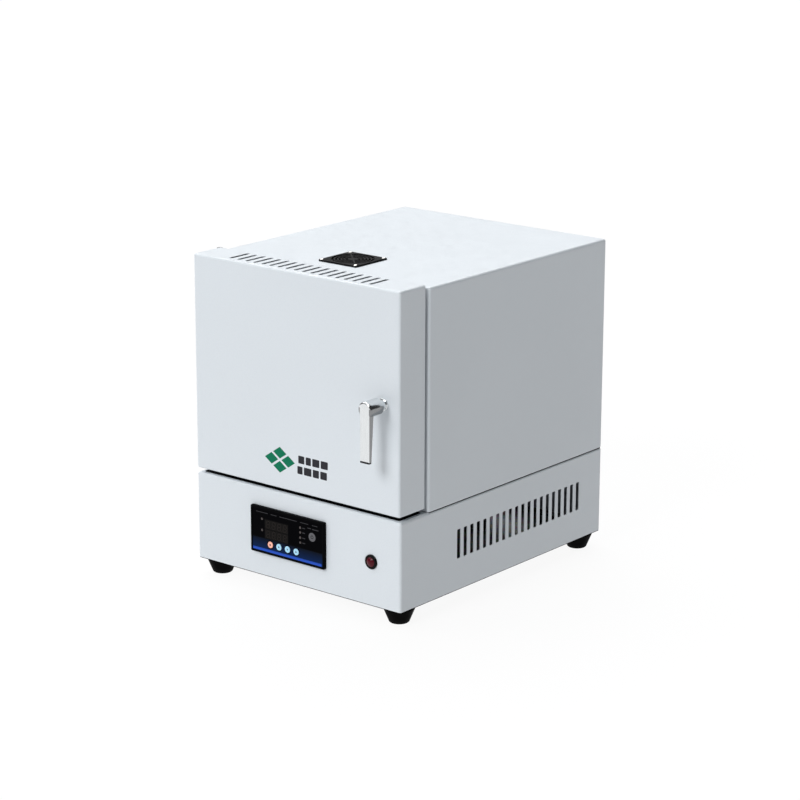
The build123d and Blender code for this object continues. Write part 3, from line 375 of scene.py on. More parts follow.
def moulded(name, colour, rough, grain_depth=0.04 * MM, specular=0.5):
    """Moulded plastic or rubber with a fine matt texture and a little dust."""
    f = Finish(name, colour, rough, specular=specular)
    fine = f.noise(1300.0, 2.0)
    dust = f.noise(45.0, 5.0, 0.6)
    f.colour(f.ramp(dust, (0.35, colour), (0.75, shade(colour, 1.5))))
    f.roughness(dust, max(0.05, rough - 0.08), rough + 0.08)
    f.bump(fine, grain_depth, 0.5)
    return f.material


DUST_FADE = 90.0


def rubber():
    """Black rubber, paler with dust towards the floor."""
    black, dusty = (0.0015, 0.0015, 0.0018), (0.007, 0.0068, 0.0065)
    f = Finish("black_rubber", black, 0.6, specular=0.03)
    _, _, z = f.axes()
    low = f.math("SUBTRACT", 1.0, f.math("MULTIPLY", z, DUST_FADE), clamp=True)
    dust = f.math("MULTIPLY", low, f.noise(160.0, 5.0), clamp=True)
    f.colour(f.ramp(dust, (0.1, black), (0.8, dusty)))
    f.roughness(f.noise(80.0, 4.0), 0.52, 0.74)
    f.bump(f.noise(900.0, 3.0), 0.08 * MM, 0.6)
    return f.material


def fibre(name, colour, clump_depth):
    """Felted ceramic fibre: soft clumps, short strands and faint cream stains."""
    f = Finish(name, colour, 0.93, specular=0.15)
    clumps = f.noise(75.0, 5.0, 0.6)
    strands = f.noise(520.0, 4.0, 0.7, (0.35, 0.35, 1.6))
    stain = f.noise(7.0, 4.0, 0.65)
    red, green, blue = colour
    aged = f.ramp(stain, (0.35, colour), (0.8, (red * 0.88, green * 0.88, blue * 0.76)))
    strand = f.ramp(strands, (0.25, (0.87, 0.87, 0.87)), (0.6, WHITE))
    f.colour(f.mix(1.0, aged, strand, "MULTIPLY"))
    f.bump(clumps, clump_depth, 0.8)
    f.bump(strands, clump_depth * 0.5, 0.8)
    return f.material


def fired_ceramic(name, colour, speck_colour):
    """Unglazed ceramic with fine iron specks and fine pores."""
    f = Finish(name, colour, 0.78, specular=0.3)
    specks = f.ramp(f.cells(340.0), (0.06, WHITE), (0.13, (0, 0, 0)))
    body = f.mottle(f.noise(16.0, 4.0), shade(colour, 0.93), shade(colour, 1.03))
    f.colour(f.mix(specks, body, speck_colour))
    f.bump(f.noise(800.0, 3.0), 0.1 * MM, 0.6)
    return f.material


def glazed(name, colour):
    """White glazed ceramic."""
    f = Finish(name, colour, 0.16, specular=0.5)
    f.colour(f.mottle(f.noise(60.0, 3.0), shade(colour, 0.95), colour))
    f.bump(f.noise(200.0, 2.0), 0.08 * MM, 0.3)
    return f.material


def oxidised_wire():
    """Resistance wire with a mottled grey-brown oxide."""
    f = Finish("oxidised_wire", (0.17, 0.15, 0.14), 0.55, metal=0.75)
    patches = f.noise(300.0, 4.0, 0.7)
    dark, middle, pale = (0.10, 0.09, 0.09), (0.19, 0.16, 0.14), (0.30, 0.25, 0.21)
    f.colour(f.ramp(patches, (DIPS, dark), (0.5, middle), (CRESTS, pale)))
    f.roughness(patches, 0.42, 0.68)
    f.bump(patches, 0.06 * MM, 0.5)
    return f.material


def rope():
    """Twisted white fibre yarn, greyer in its hollows."""
    colour = (0.80, 0.79, 0.75)
    f = Finish("fibre_yarn", colour, 0.9, specular=0.15)
    yarn = f.noise(1500.0, 3.0, 0.6, (1, 0.5, 1))
    use = f.noise(22.0, 4.0, 0.6)
    tone = f.ramp(use, (DIPS, colour), (0.75, (0.64, 0.60, 0.54)))
    hollows = f.ramp(yarn, (0.2, (0.75, 0.75, 0.75)), (0.6, WHITE))
    f.colour(f.mix(1.0, tone, hollows, "MULTIPLY"))
    f.bump(yarn, 0.2 * MM, 0.7)
    return f.material


def glossy(name, colour, rough, clear=0.0, specular=0.5):
    """Gloss-moulded plastic, with a clear coat where clear is above 0."""
    f = Finish(name, colour, rough, specular=specular)
    f.set("Coat Weight", clear)
    f.set("Coat Roughness", 0.04)
    f.colour(f.mottle(f.noise(90.0, 4.0), shade(colour, 0.92), shade(colour, 1.06)))
    f.roughness(f.noise(40.0, 4.0), max(0.04, rough * 0.8), rough * 1.25)
    f.bump(f.noise(260.0, 2.0), 0.02 * MM, 0.25)
    return f.material


def printed(name, colour, rough=0.4):
    """Screen-printed ink with fine grain."""
    f = Finish(name, colour, rough, specular=0.06)
    ink = f.noise(2200.0, 3.0)
    f.colour(f.mottle(ink, shade(colour, 0.9), shade(colour, 1.08)))
    f.bump(ink, 0.01 * MM, 0.5)
    return f.material


def faded_band(name, low, high, dark, bright):
    """Ink that fades from bright at the low height to dark at the high one."""
    f = Finish(name, dark, 0.22, specular=0.04)
    _, _, z = f.axes()
    rise = f.math("DIVIDE", f.math("SUBTRACT", z, low), high - low, clamp=True)
    wave = f.math("MULTIPLY", f.math("SUBTRACT", f.noise(18.0, 2.0), 0.5), 0.12)
    f.colour(f.ramp(f.math("ADD", rise, wave, clamp=True), (0.0, bright), (1.0, dark)))
    f.bump(f.noise(600.0), 0.01 * MM, 0.3)
    return f.material


def chamber_mouth():
    """Half width, half height and middle height of the chamber, from the boards round it."""
    half_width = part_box("right_board")[0].x
    bottom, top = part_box("floor_board")[1].z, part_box("roof_board")[0].z
    return half_width, (top - bottom) / 2, (top + bottom) / 2


MATERIALS = {
    "casing": powder_coat(),
    "hinge_steel": moulded("hinge_coat", (0.012, 0.012, 0.013), 0.38, 0.03 * MM, 0.25),
    "stainless": brushed("brushed_stainless", (0.66, 0.65, 0.63), 0.30, "z", chamber_mouth()),
    "zinc_steel": zinc(),
    "screw_steel": plated("nickel_plate", (0.72, 0.71, 0.69), 0.24),
    "handle_metal": polished("polished_chrome"),
    "foot_rubber": rubber(),
    "fibre_board": fibre("felted_fibre", (0.84, 0.82, 0.77), 0.9 * MM),
    "hard_board": fibre("hard_fibre", (0.79, 0.76, 0.69), 0.4 * MM),
    "seal_rope": rope(),
    "hearth_ceramic": fired_ceramic("hearth_ceramic", (0.70, 0.64, 0.54), (0.32, 0.24, 0.17)),
    "thermocouple_ceramic": fired_ceramic("sheath_ceramic", (0.80, 0.77, 0.70), (0.60, 0.55, 0.46)),
    "heater_wire": oxidised_wire(),
    "black_plastic": moulded("black_moulding", (0.010, 0.010, 0.011), 0.5, specular=0.2),
    "fan_plastic": moulded("fan_moulding", (0.003, 0.003, 0.0035), 0.45, specular=0.06),
    "gland_plastic": moulded("nylon_black", (0.025, 0.025, 0.027), 0.45),
    "breaker_plastic": moulded("breaker_grey", (0.60, 0.61, 0.60), 0.5),
    "toggle_plastic": glossy("toggle_black", (0.02, 0.025, 0.04), 0.25),
    "terminal_plastic": moulded("terminal_black", (0.03, 0.03, 0.03), 0.5),
    "relay_plastic": moulded("relay_black", (0.012, 0.012, 0.013), 0.45, specular=0.2),
    "heat_sink_aluminium": brushed("extruded_aluminium", (0.76, 0.77, 0.78), 0.36, "y"),
    "controller_frame": moulded("controller_black", (0.001, 0.001, 0.0014), 0.42, 0.02 * MM, 0.02),
    "controller_glass": glossy("controller_window", (0.0008, 0.0008, 0.0014), 0.14, specular=0.015),
    "display_dark": moulded("circuit_board", (0.02, 0.06, 0.035), 0.4),
    "key_orange": glossy("key_orange", (0.90, 0.44, 0.34), 0.3, 0.2),
    "key_blue": glossy("key_blue", (0.36, 0.66, 0.86), 0.3, 0.2),
    "switch_black": glossy("switch_black", (0.0025, 0.0025, 0.0025), 0.3, specular=0.08),
    "lens_red": glossy("lens_red", (0.075, 0.004, 0.010), 0.16, 0.06, 0.15),
    "clamp_ceramic": glazed("clamp_glaze", (0.80, 0.78, 0.72)),
    "lead_silicone": moulded("silicone_red", (0.45, 0.05, 0.03), 0.5),
}


FLANK_OVERLAP = 0.4 * MM
FLANK_TOP = 4 * MM


def lever_material():
    """Chrome with painted shade on its sides, up to just above the lever's axis."""
    low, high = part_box("handle_lever")
    cap_low, cap_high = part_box("handle_end_cap")
    axis = high.z - (high.x - low.x) / 2
    half_width = (cap_high.x - cap_low.x) / 2 - FLANK_OVERLAP
    return polished("lever_chrome", ((low.x + high.x) / 2, half_width, axis + FLANK_TOP))


def paint_cad():
    """Give every node of the frame its slot's detailed material, or one of its own."""
    slots = {part["node"]: part["material_slot"] for part in frame["record"]["subparts"]}
    special = {
        "handle_lever": lever_material(),
        # The floor pan is painted near black: painted shade, so that the base's side slots look
        # dark inside.
        "base_floor_pan": zinc("shade_dark_zinc_sheet", (0.09, 0.092, 0.096)),
    }
    for name, node in frame["nodes"].items():
        material = special.get(name) or MATERIALS[slots[name]]
        if not node.data.materials:
            node.data.materials.append(material)
        for number in range(len(node.data.materials)):
            node.data.materials[number] = material


# ---- mesh helpers -------------------------------------------------------------------------
def piece(name, points, faces, material, body, smooth=True):
    """A mesh piece that rides on a body."""
    mesh = bpy.data.meshes.new(name)
    mesh.from_pydata([tuple(point) for point in points], [], faces)
    mesh.validate()
    mesh.materials.append(material)
    mesh.polygons.foreach_set("use_smooth", [smooth] * len(mesh.polygons))
    thing = bpy.data.objects.new(name, mesh)
    bpy.context.scene.collection.objects.link(thing)
    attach(thing, body)
    return thing


class Build:
    """Points and faces gathered from several closed shapes."""

    def __init__(self):
        self.points = []
        self.faces = []

    def join(self, points, faces):
        start = len(self.points)
        self.points += [Vector(point) for point in points]
        self.faces += [[start + corner for corner in face] for face in faces]

    def rings(self, rings, closed=False):
        """Equal rings of points joined in order: the last to the first if closed, else capped."""
        count, size = len(rings), len(rings[0])
        faces = []
        for i in range(count if closed else count - 1):
            a, b = i * size, (i + 1) % count * size
            faces += [[a + j, a + (j + 1) % size, b + (j + 1) % size, b + j] for j in range(size)]
        if not closed:
            faces += [list(range(size))[::-1], [(count - 1) * size + j for j in range(size)]]
        self.join([point for ring in rings for point in ring], faces)

    def prism(self, outline, front, back):
        """An outline of (x, z) points standing between two planes across Y."""
        self.rings([[(x, y, z) for x, z in outline] for y in (front, back)])

    def piece(self, name, material, body, slot, smooth=True):
        return piece(name, self.points, self.faces, material, body, smooth)


def on_circle(x, z, radius, angle):
    return x + radius * math.cos(angle), z + radius * math.sin(angle)


def circle(x, z, radius, count):
    """Points round a circle in one plane."""
    return [on_circle(x, z, radius, TURN * i / count) for i in range(count)]


def soft_box(x, z, radius, steps=5):
    """A rectangle of (low, high) along two axes with rounded corners."""
    corners = [(x[1] - radius, z[1] - radius), (x[0] + radius, z[1] - radius)]
    corners += [(x[0] + radius, z[0] + radius), (x[1] - radius, z[0] + radius)]
    return [
        on_circle(*corner, radius, TURN / 4 * (quarter + i / steps))
        for quarter, corner in enumerate(corners)
        for i in range(steps + 1)
    ]


def box_middle(node):
    """The middle of a node's box."""
    low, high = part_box(node)
    return (low + high) / 2


def plate_with_holes(name, outline, holes, front, back, material, body):
    """A flat plate across Y whose outline and holes are lists of (x, z) points."""
    data = bpy.data.curves.new(name, "CURVE")
    data.dimensions = "2D"
    data.fill_mode = "BOTH"
    data.extrude = (back - front) / 2
    for loop in [outline, *holes]:
        spline = data.splines.new("POLY")
        spline.points.add(len(loop) - 1)
        for point, (x, z) in zip(spline.points, loop):
            point.co = (x, z, 0, 1)
        spline.use_cyclic_u = True
    drawn = bpy.data.objects.new(name + "_outline", data)
    bpy.context.scene.collection.objects.link(drawn)
    bpy.context.view_layer.update()
    mesh = bpy.data.meshes.new_from_object(drawn)
    bpy.data.objects.remove(drawn)
    middle = Matrix.Translation((0, (front + back) / 2, 0))
    mesh.transform(middle @ Matrix.Rotation(TURN / 4, 4, "X"))
    faces = [list(face.vertices) for face in mesh.polygons]
    points = [vertex.co.copy() for vertex in mesh.vertices]
    bpy.data.meshes.remove(mesh)
    return piece(name, points, faces, material, body, smooth=False)


def heading(line, i, closed=False):
    """Direction of a line at one of its points."""
    if closed:
        return (line[(i + 1) % len(line)] - line[i - 1]).normalized()
    return (line[min(i + 1, len(line) - 1)] - line[max(i - 1, 0)]).normalized()


def ring_round(point, side, up, radius, count):
    """Points round a circle that stands across two directions."""
    angles = [TURN * i / count for i in range(count)]
    return [point + (side * math.cos(angle) + up * math.sin(angle)) * radius for angle in angles]


def tube_rings(line, radius, sides):
    """Rings of points round a line, turned as little as possible from one to the next."""
    rings = []
    side = heading(line, 0).orthogonal().normalized()
    for i, point in enumerate(line):
        way = heading(line, i)
        side = (side - way * side.dot(way)).normalized()
        rings.append(ring_round(point, side, way.cross(side), radius, sides))
    return rings


BEND_STEPS = 12
TINY = 1e-9


def rounded_line(points, radius, step):
    """A polyline with round corners of one radius, sampled at equal steps."""
    dense = [points[0]]
    for before, corner, after in zip(points, points[1:], points[2:]):
        a, b = (before - corner).normalized(), (after - corner).normalized()
        half = a.angle(b) / 2
        cut = radius / math.tan(half)
        centre = corner + (a + b).normalized() * (radius / math.sin(half))
        start, end = corner + a * cut - centre, corner + b * cut - centre
        axis, sweep = start.cross(end).normalized(), start.angle(end)
        for i in range(BEND_STEPS + 1):
            dense.append(centre + Matrix.Rotation(sweep * i / BEND_STEPS, 3, axis) @ start)
    dense.append(points[-1])
    return resampled(dense, step)


def resampled(points, step):
    """Points at equal steps along a polyline."""
    total = sum((b - a).length for a, b in zip(points, points[1:]))
    count = max(2, round(total / step))
    wanted, found, gone = [total * i / count for i in range(count + 1)], [], 0.0
    for a, b in zip(points, points[1:]):
        length = (b - a).length
        while len(found) <= count and wanted[len(found)] <= gone + length + TINY:
            found.append(a.lerp(b, (wanted[len(found)] - gone) / max(length, TINY)))
        gone += length
    return found


# ---- heaters ------------------------------------------------------------------------------
RUNS = 6
RUN_PITCH = 26 * MM
RUN_FROM_REAR = 18 * MM
RUN_FROM_FRONT = 22 * MM
BEND = 10 * MM
COIL_RADIUS = 3.35 * MM
COIL_STEP = 3.3 * MM
COIL_POINTS = 10
COIL_FROM_REAR = 4 * MM
WIRE_RADIUS = 0.62 * MM
TAIL_RADIUS = 1.7 * MM
TAIL_STEP = 10 * MM


def run_levels():
    """Heights of the heaters' runs."""
    middle = box_middle("rear_board").z
    return [middle + (i - (RUNS - 1) / 2) * RUN_PITCH for i in range(RUNS)]


def run_ends():
    """Front and rear Y of the heaters' runs."""
    front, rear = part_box("floor_board")[0].y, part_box("rear_board")[0].y
    return front + RUN_FROM_FRONT, rear - RUN_FROM_REAR


def heater_corners(x):
    """Corners of a heater's middle line: level runs, with both ends close to the rear board."""
    front, rear = run_ends()
    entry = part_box("rear_board")[0].y - COIL_FROM_REAR
    points = []
    for number, level in enumerate(run_levels()):
        back = entry if number in (0, RUNS - 1) else rear
        ends = (back, front) if number % 2 == 0 else (front, back)
        points += [Vector((x, y, level)) for y in ends]
    return points


def make_heater(node):
    """Resistance wire wound in a coil along the heater's grooves, with straight tails."""
    corners = heater_corners(box_middle(node).x)
    spine = rounded_line(corners, BEND, COIL_STEP / COIL_POINTS)
    across = Vector((1, 0, 0))
    wire = []
    for i, point in enumerate(spine):
        rise = heading(spine, i).cross(across)
        angle = TURN * i / COIL_POINTS
        wire.append(point + (across * math.cos(angle) + rise * math.sin(angle)) * COIL_RADIUS)
    build = Build()
    build.rings(tube_rings(wire, WIRE_RADIUS, 6))
    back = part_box(node)[1].y
    for end in (corners[0], corners[-1]):
        tail = [end, Vector((end.x, back, end.z))]
        build.rings(tube_rings(resampled(tail, TAIL_STEP), TAIL_RADIUS, 12))
    coil = build.piece(node + "_coil", MATERIALS["heater_wire"], "cabinet", "heater_wire")
    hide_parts(node)


STAPLE_RADIUS = 0.5 * MM
STAPLES_PER_RUN = 4
STAPLE_PROUD = 0.4 * MM
STAPLE_DEPTH = 9 * MM
STAPLE_REACH = 5.4 * MM
STAPLE_BEND = 2 * MM
STAPLE_STEP = 1.2 * MM


def make_staples(side, node):
    """Wire staples that hold each run of the coil in its groove."""
    low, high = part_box(node)
    inner = side * min(abs(low.x), abs(high.x))
    out, deep = inner - side * STAPLE_PROUD, inner + side * STAPLE_DEPTH
    front, rear = run_ends()
    build = Build()
    for level in run_levels():
        for place in range(STAPLES_PER_RUN):
            y = front + (rear - front) * (place + 0.5) / STAPLES_PER_RUN
            bottom, top = level - STAPLE_REACH, level + STAPLE_REACH
            corners = [(deep, bottom), (out, bottom), (out, top), (deep, top)]
            line = rounded_line([Vector((x, y, z)) for x, z in corners], STAPLE_BEND, STAPLE_STEP)
            build.rings(tube_rings(line, STAPLE_RADIUS, 8))
    name = node.replace("heater", "staples")
    build.piece(name, MATERIALS["heater_wire"], "cabinet", "heater_wire")


# ---- door seal ----------------------------------------------------------------------------
ROPE_WIDTH = 12 * MM
ROPE_CORNER = 16 * MM
ROPE_STEP = 0.9 * MM
ROPE_SECTION = 28
ROPE_FILL = 0.97
ROPE_PLAITS = 96
PLAIT_DEPTH = 0.085
PLAIT_SLANT = 3.0
# Shares of the rope's depth: the dome's rise, its foot, and where its lower half is cut flat.
DOME_RISE, DOME_FOOT, DOME_CUT = 0.62, 0.372, -0.6
ROPE_LIFT = 0.02 * MM


def make_seal():
    """Plaited rope seal round the door's plug, flat on the door and domed towards the body."""
    low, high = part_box("door_gasket")
    half = ROPE_WIDTH / 2
    depth = high.y - low.y
    spans = (low.x + half, high.x - half), (low.z + half, high.z - half)
    loop = [Vector((x, 0, z)) for x, z in soft_box(*spans, ROPE_CORNER, 10)]
    line = resampled(loop + loop[:1], ROPE_STEP)[:-1]
    rings = []
    for i, point in enumerate(line):
        way = heading(line, i, closed=True)
        phase = TURN * ROPE_PLAITS * i / len(line)
        ring = []
        for j in range(ROPE_SECTION):
            across, rise = on_circle(0, 0, 1, TURN * j / ROPE_SECTION)
            plait = 1 - PLAIT_DEPTH * abs(math.sin(phase / 2 + PLAIT_SLANT * abs(across))) ** 3
            out = across * half * ROPE_FILL * plait
            height = depth * (DOME_RISE * max(rise, DOME_CUT) * plait + DOME_FOOT)
            y = low.y + max(ROPE_LIFT, height)
            ring.append(Vector((point.x + way.z * out, y, point.z - way.x * out)))
        rings.append(ring)
    build = Build()
    build.rings(rings, closed=True)
    seal = build.piece("door_seal_rope", MATERIALS["seal_rope"], "door", "seal_rope")
    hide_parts("door_gasket")


# ---- fan ----------------------------------------------------------------------------------
HUB_RADIUS = 17 * MM
HUB_WALL = 2.5 * MM
HUB_BEND = 2.5 * MM
HUB_WELL = 5 * MM
HUB_SIDES = 64
SHAFT_RADIUS = 1.7 * MM
HUB_CENTRE = 0.2 * MM

BLADES = 7
BLADE_ROOT = HUB_RADIUS - 1.2 * MM
BLADE_GAP = 0.2 * MM
ROOT_CHORD = 15 * MM
CHORD_GAIN = 4 * MM
ROOT_PITCH = 48
TWIST = 20
BLADE_LEAN = 0.30
BLADE_CAMBER = 1.6 * MM
BLADE_THICK = 0.75 * MM
BLADE_THINNING = 0.4
BLADE_EDGE = 0.12 * MM
ALONG, ACROSS = 14, 12


def hub_profile(floor, top):
    """Half section of the hub as (radius, z) points: an open well below and a round edge above."""
    inner, well = HUB_RADIUS - HUB_WALL, floor + HUB_WELL
    profile = [(SHAFT_RADIUS, well), (inner, well), (inner, floor), (HUB_RADIUS, floor)]
    corner = HUB_RADIUS - HUB_BEND, top - HUB_BEND
    profile += [on_circle(*corner, HUB_BEND, TURN / 4 * i / 6) for i in range(7)]
    return profile + [(HUB_CENTRE, top)]


def blade_points(low, high, start, face):
    """One face of a blade as a grid of points from its root to its tip."""
    middle = (low + high) / 2
    tip = (high.x - low.x) / 2 - BLADE_GAP
    points = []
    for i in range(ALONG + 1):
        share = i / ALONG
        radius = BLADE_ROOT + (tip - BLADE_ROOT) * share
        chord = ROOT_CHORD + CHORD_GAIN * share
        pitch = math.radians(ROOT_PITCH - TWIST * share)
        lean = BLADE_LEAN * share ** 1.5
        for j in range(ACROSS + 1):
            part = j / ACROSS - 0.5
            camber = BLADE_CAMBER * (1 - 4 * part * part)
            flat = chord * part * math.cos(pitch) - camber * math.sin(pitch)
            rise = chord * part * math.sin(pitch) + camber * math.cos(pitch)
            swell = (1 - (2 * part) ** 4) * (1 - BLADE_THINNING * share)
            level = middle.z + rise + face * (BLADE_THICK * swell + BLADE_EDGE)
            x, y = on_circle(middle.x, middle.y, radius, start + lean + flat / radius)
            points.append(Vector((x, y, min(max(level, low.z + BLADE_GAP), high.z))))
    return points


def blade_faces():
    """Faces of a blade: its upper and lower grids, and the strip round their rim."""
    wide = ACROSS + 1
    size = wide * (ALONG + 1)
    faces = []
    for i in range(ALONG):
        for j in range(ACROSS):
            a = i * wide + j
            faces.append([a, a + wide, a + wide + 1, a + 1])
            faces.append([size + a, size + a + 1, size + a + wide + 1, size + a + wide])
    rim = list(range(wide)) + [i * wide + ACROSS for i in range(1, ALONG + 1)]
    rim += [ALONG * wide + j for j in range(ACROSS - 1, -1, -1)]
    rim += [i * wide for i in range(ALONG - 1, 0, -1)]
    return faces + [[a, b, size + b, size + a] for a, b in zip(rim, rim[1:] + rim[:1])]


def make_rotor():
    """Impeller with curved, twisted blades on a domed hub."""
    low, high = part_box("fan_rotor")
    middle = (low + high) / 2
    build = Build()
    build.rings([
        [(x, y, z) for x, y in circle(middle.x, middle.y, radius, HUB_SIDES)]
        for radius, z in hub_profile(low.z, high.z)
    ])
    for number in range(BLADES):
        start = TURN * number / BLADES
        points = blade_points(low, high, start, 1) + blade_points(low, high, start, -1)
        build.join(points, blade_faces())
    rotor = build.piece("fan_impeller", MATERIALS["fan_plastic"], "fan_rotor", "fan_plastic")
    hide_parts("fan_rotor")


# ---- black beads and strip that paint shade in the casing seams and gaps ------------------
CASING_CORNER = 4.5 * MM
BEAD_DROP = 0.4 * MM
# Black beads that paint shade: a dark line in the seam above the base, and one under the base.
# Each bead's name, its casing, its radius, and how far it is set in from the casing's sides.
SHADE_BEADS = [
    ("body_seam_shade_bead", "body_shell", 1.3 * MM, 2.1 * MM),
    ("base_edge_shade_bead", "base_shell", 1.1 * MM, 1.3 * MM),
]


def make_shade_bead(name, node, radius, inset):
    """Black rubber bead round the foot of a casing, a little below it: painted shade that darkens
    the line at the casing's foot.
    """
    low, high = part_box(node)
    spans = (low.x + inset, high.x - inset), (low.y + inset, high.y - inset)
    plan = soft_box(*spans, CASING_CORNER - inset, 8)
    loop = [Vector((x, y, low.z - BEAD_DROP)) for x, y in plan]
    line = [point for a, b in zip(loop, loop[1:] + loop[:1]) for point in (a, a.lerp(b, 0.5))]
    up = Vector((0, 0, 1))
    rings = []
    for i, point in enumerate(line):
        way = heading(line, i, closed=True)
        rings.append(ring_round(point, Vector((way.y, -way.x, 0)), up, radius, 12))
    build = Build()
    build.rings(rings, closed=True)
    build.piece(name, MATERIALS["foot_rubber"], "cabinet", "foot_rubber")


STRIP_THICK = 0.5 * MM
STRIP_CORNER = 3 * MM
# How far the strip is set in from the door's left, right, front and back.
STRIP_INSET = (9 * MM, 7 * MM, 8 * MM, 2 * MM)


def make_gap_shade_strip():
    """Thin black strip on the base under the door: painted shade that darkens the gap between door
    and base.
    """
    low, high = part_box("door_shell")
    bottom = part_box("base_shell")[1].z
    left, right, front, back = STRIP_INSET
    plan = soft_box((low.x + left, high.x - right), (low.y + front, high.y - back), STRIP_CORNER)
    build = Build()
    build.rings([[(x, y, z) for x, y in plan] for z in (bottom, bottom + STRIP_THICK)])
    build.piece("door_gap_shade_strip", MATERIALS["foot_rubber"], "cabinet", "foot_rubber", smooth=False)


# ---- controller face ----------------------------------------------------------------------
# Places on the controller's face are in mm from its middle.
KEYS = [
    ("controller_key_set", "key_set"),
    ("controller_key_shift", "key_shift"),
    ("controller_key_down", "key_down"),
    ("controller_key_up", "key_up"),
]
INK = 0.06 * MM
KEY_CLEARANCE = 0.8 * MM
BAND_INSET = 0.5 * MM
BAND_CORNER = 1 * MM
BAND_TOP = -13.4
STRIPE_ACROSS, STRIPE_UP = (-75.5, 74), (-35.4, -31.0)
STRIPE_FADE = (-36, -29)


def on_panel(dx, dz):
    """The X and Z of a place on the controller's face."""
    middle = box_middle("controller_bezel")
    return middle.x + dx * MM, middle.z + dz * MM


def panel_box(across, up, corner):
    """A soft box on the controller's face, from its spans and its corner radius in mm."""
    (left, bottom), (right, top) = on_panel(across[0], up[0]), on_panel(across[1], up[1])
    return soft_box((left, right), (bottom, top), corner * MM)


def panel_piece(name, build, ink, smooth=False):
    """A printed or moulded detail that stands on the controller's window."""
    return build.piece(name, ink, "cabinet", "controller_glass", smooth)


def window_front():
    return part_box("controller_window")[0].y


def make_controller_print():
    """Blue band and stripe printed on the window, the band open round the keys."""
    low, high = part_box("controller_window")
    front = low.y
    holes = []
    for node, _ in KEYS:
        left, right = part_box(node)
        middle = (left + right) / 2
        holes.append(circle(middle.x, middle.z, (right.x - left.x) / 2 + KEY_CLEARANCE, 40))
    band = (low.z + BAND_INSET, on_panel(0, BAND_TOP)[1])
    ink = faded_band("band_ink", *band, (0.0016, 0.004, 0.010), (0.002, 0.018, 0.085))
    outline = soft_box((low.x + BAND_INSET, high.x - BAND_INSET), band, BAND_CORNER)
    plate_with_holes(
        "controller_band", outline, holes, front - INK, front, ink, "cabinet"
    )
    stripe = Build()
    stripe.prism(panel_box(STRIPE_ACROSS, STRIPE_UP, 0.8), front - 2 * INK, front - INK)
    fade = [on_panel(0, level)[1] for level in STRIPE_FADE]
    ink = faded_band("stripe_ink", *fade, (0.012, 0.05, 0.34), (0.03, 0.10, 0.56))
    panel_piece("controller_stripe", stripe, ink)


# The bars of a figure from corner to corner, with its middle at (0, 0).
SEGMENTS = [
    ((-1, 1), (1, 1)),
    ((1, 1), (1, 0)),
    ((1, 0), (1, -1)),
    ((1, -1), (-1, -1)),
    ((-1, -1), (-1, 0)),
    ((-1, 0), (-1, 1)),
    ((-1, 0), (1, 0)),
]
BAR = 1.0 * MM
BAR_GAP = 0.35 * MM
FIGURE_LEAN = 0.10
FIELD_ACROSS = (-49, 2)
# The bottom and top of each field, and the width of its figures.
FIELD_ROWS = ((4.0, 20.0, 6.6), (-12.5, 3.0, 6.0))
FIELD_DEPTH = INK * 0.6
FIGURE_DEPTH = INK * 1.6
FIGURES_PER_ROW = 4
FIGURES_MIDDLE, FIGURE_PITCH = -23.5, 12.2
FIGURE_MARGIN = 4.4
POINT_ASIDE, POINT_MARGIN, POINT_RADIUS = 1.7, 4.6, 0.6


def figure(build, x, z, width, height, front):
    """One unlit seven-segment figure, all its segments, leaning a little."""
    for start, end in SEGMENTS:
        a, b = (Vector((px * width / 2, pz * height / 2)) for px, pz in (start, end))
        way = (b - a).normalized()
        a, b = a + way * BAR_GAP, b - way * BAR_GAP
        point, side = way * BAR / 2, Vector((-way.y, way.x)) * BAR / 2
        shape = [a, a + point + side, b - point + side, b, b - point - side, a + point - side]
        if way.x > 0 or way.y < 0:
            shape = shape[::-1]
        outline = [(x + p.x + p.y * FIGURE_LEAN, z + p.y) for p in shape]
        build.prism(outline, front - FIGURE_DEPTH, front - FIELD_DEPTH)


def make_controller_figures():
    """Two rows of unlit figures, each with its point, on their darker fields."""
    front = window_front()
    field_ink = printed("field_ink", (0.0045, 0.0038, 0.0036), 0.25)
    figure_ink = printed("figure_ink", (0.014, 0.0105, 0.0095), 0.30)
    fields, figures = Build(), Build()
    for low, high, width in FIELD_ROWS:
        fields.prism(panel_box(FIELD_ACROSS, (low, high), 0.6), front - FIELD_DEPTH, front)
        middle, height = (low + high) / 2, high - low
        for number in range(FIGURES_PER_ROW):
            place = FIGURES_MIDDLE + (number - (FIGURES_PER_ROW - 1) / 2) * FIGURE_PITCH
            size = width * MM, (height - FIGURE_MARGIN) * MM
            figure(figures, *on_panel(place, middle), *size, front)
            point = place + width / 2 + POINT_ASIDE, middle - (height - POINT_MARGIN) / 2
            outline = circle(*on_panel(*point), POINT_RADIUS * MM, 12)
            figures.prism(outline, front - FIGURE_DEPTH, front - FIELD_DEPTH)
    panel_piece("display_fields", fields, field_ink)
    panel_piece("display_figures", figures, figure_ink)


def dome(build, x, z, radius, face, rise, tip, count):
    """A low round cap on a face across Y. Its rise is below 0 where it stands to the front."""
    rings = []
    for i in range(6):
        reach, share = on_circle(0, 0, 1, TURN / 4 * i / 5)
        ring = circle(x, z, max(radius * reach, tip), count)
        rings.append([(px, face + rise * share, pz) for px, pz in ring])
    build.rings([ring[::-1] for ring in rings] if rise < 0 else rings)


LENS_RADIUS = 2.2 * MM
LENS_RISE = 0.5 * MM
LEFT_LENSES = [(-55, 19.5), (-55, 0.0)]
RIGHT_LENSES = [(28.5, dz) for dz in (21.5, 13.5, 4.5, -4.0)]
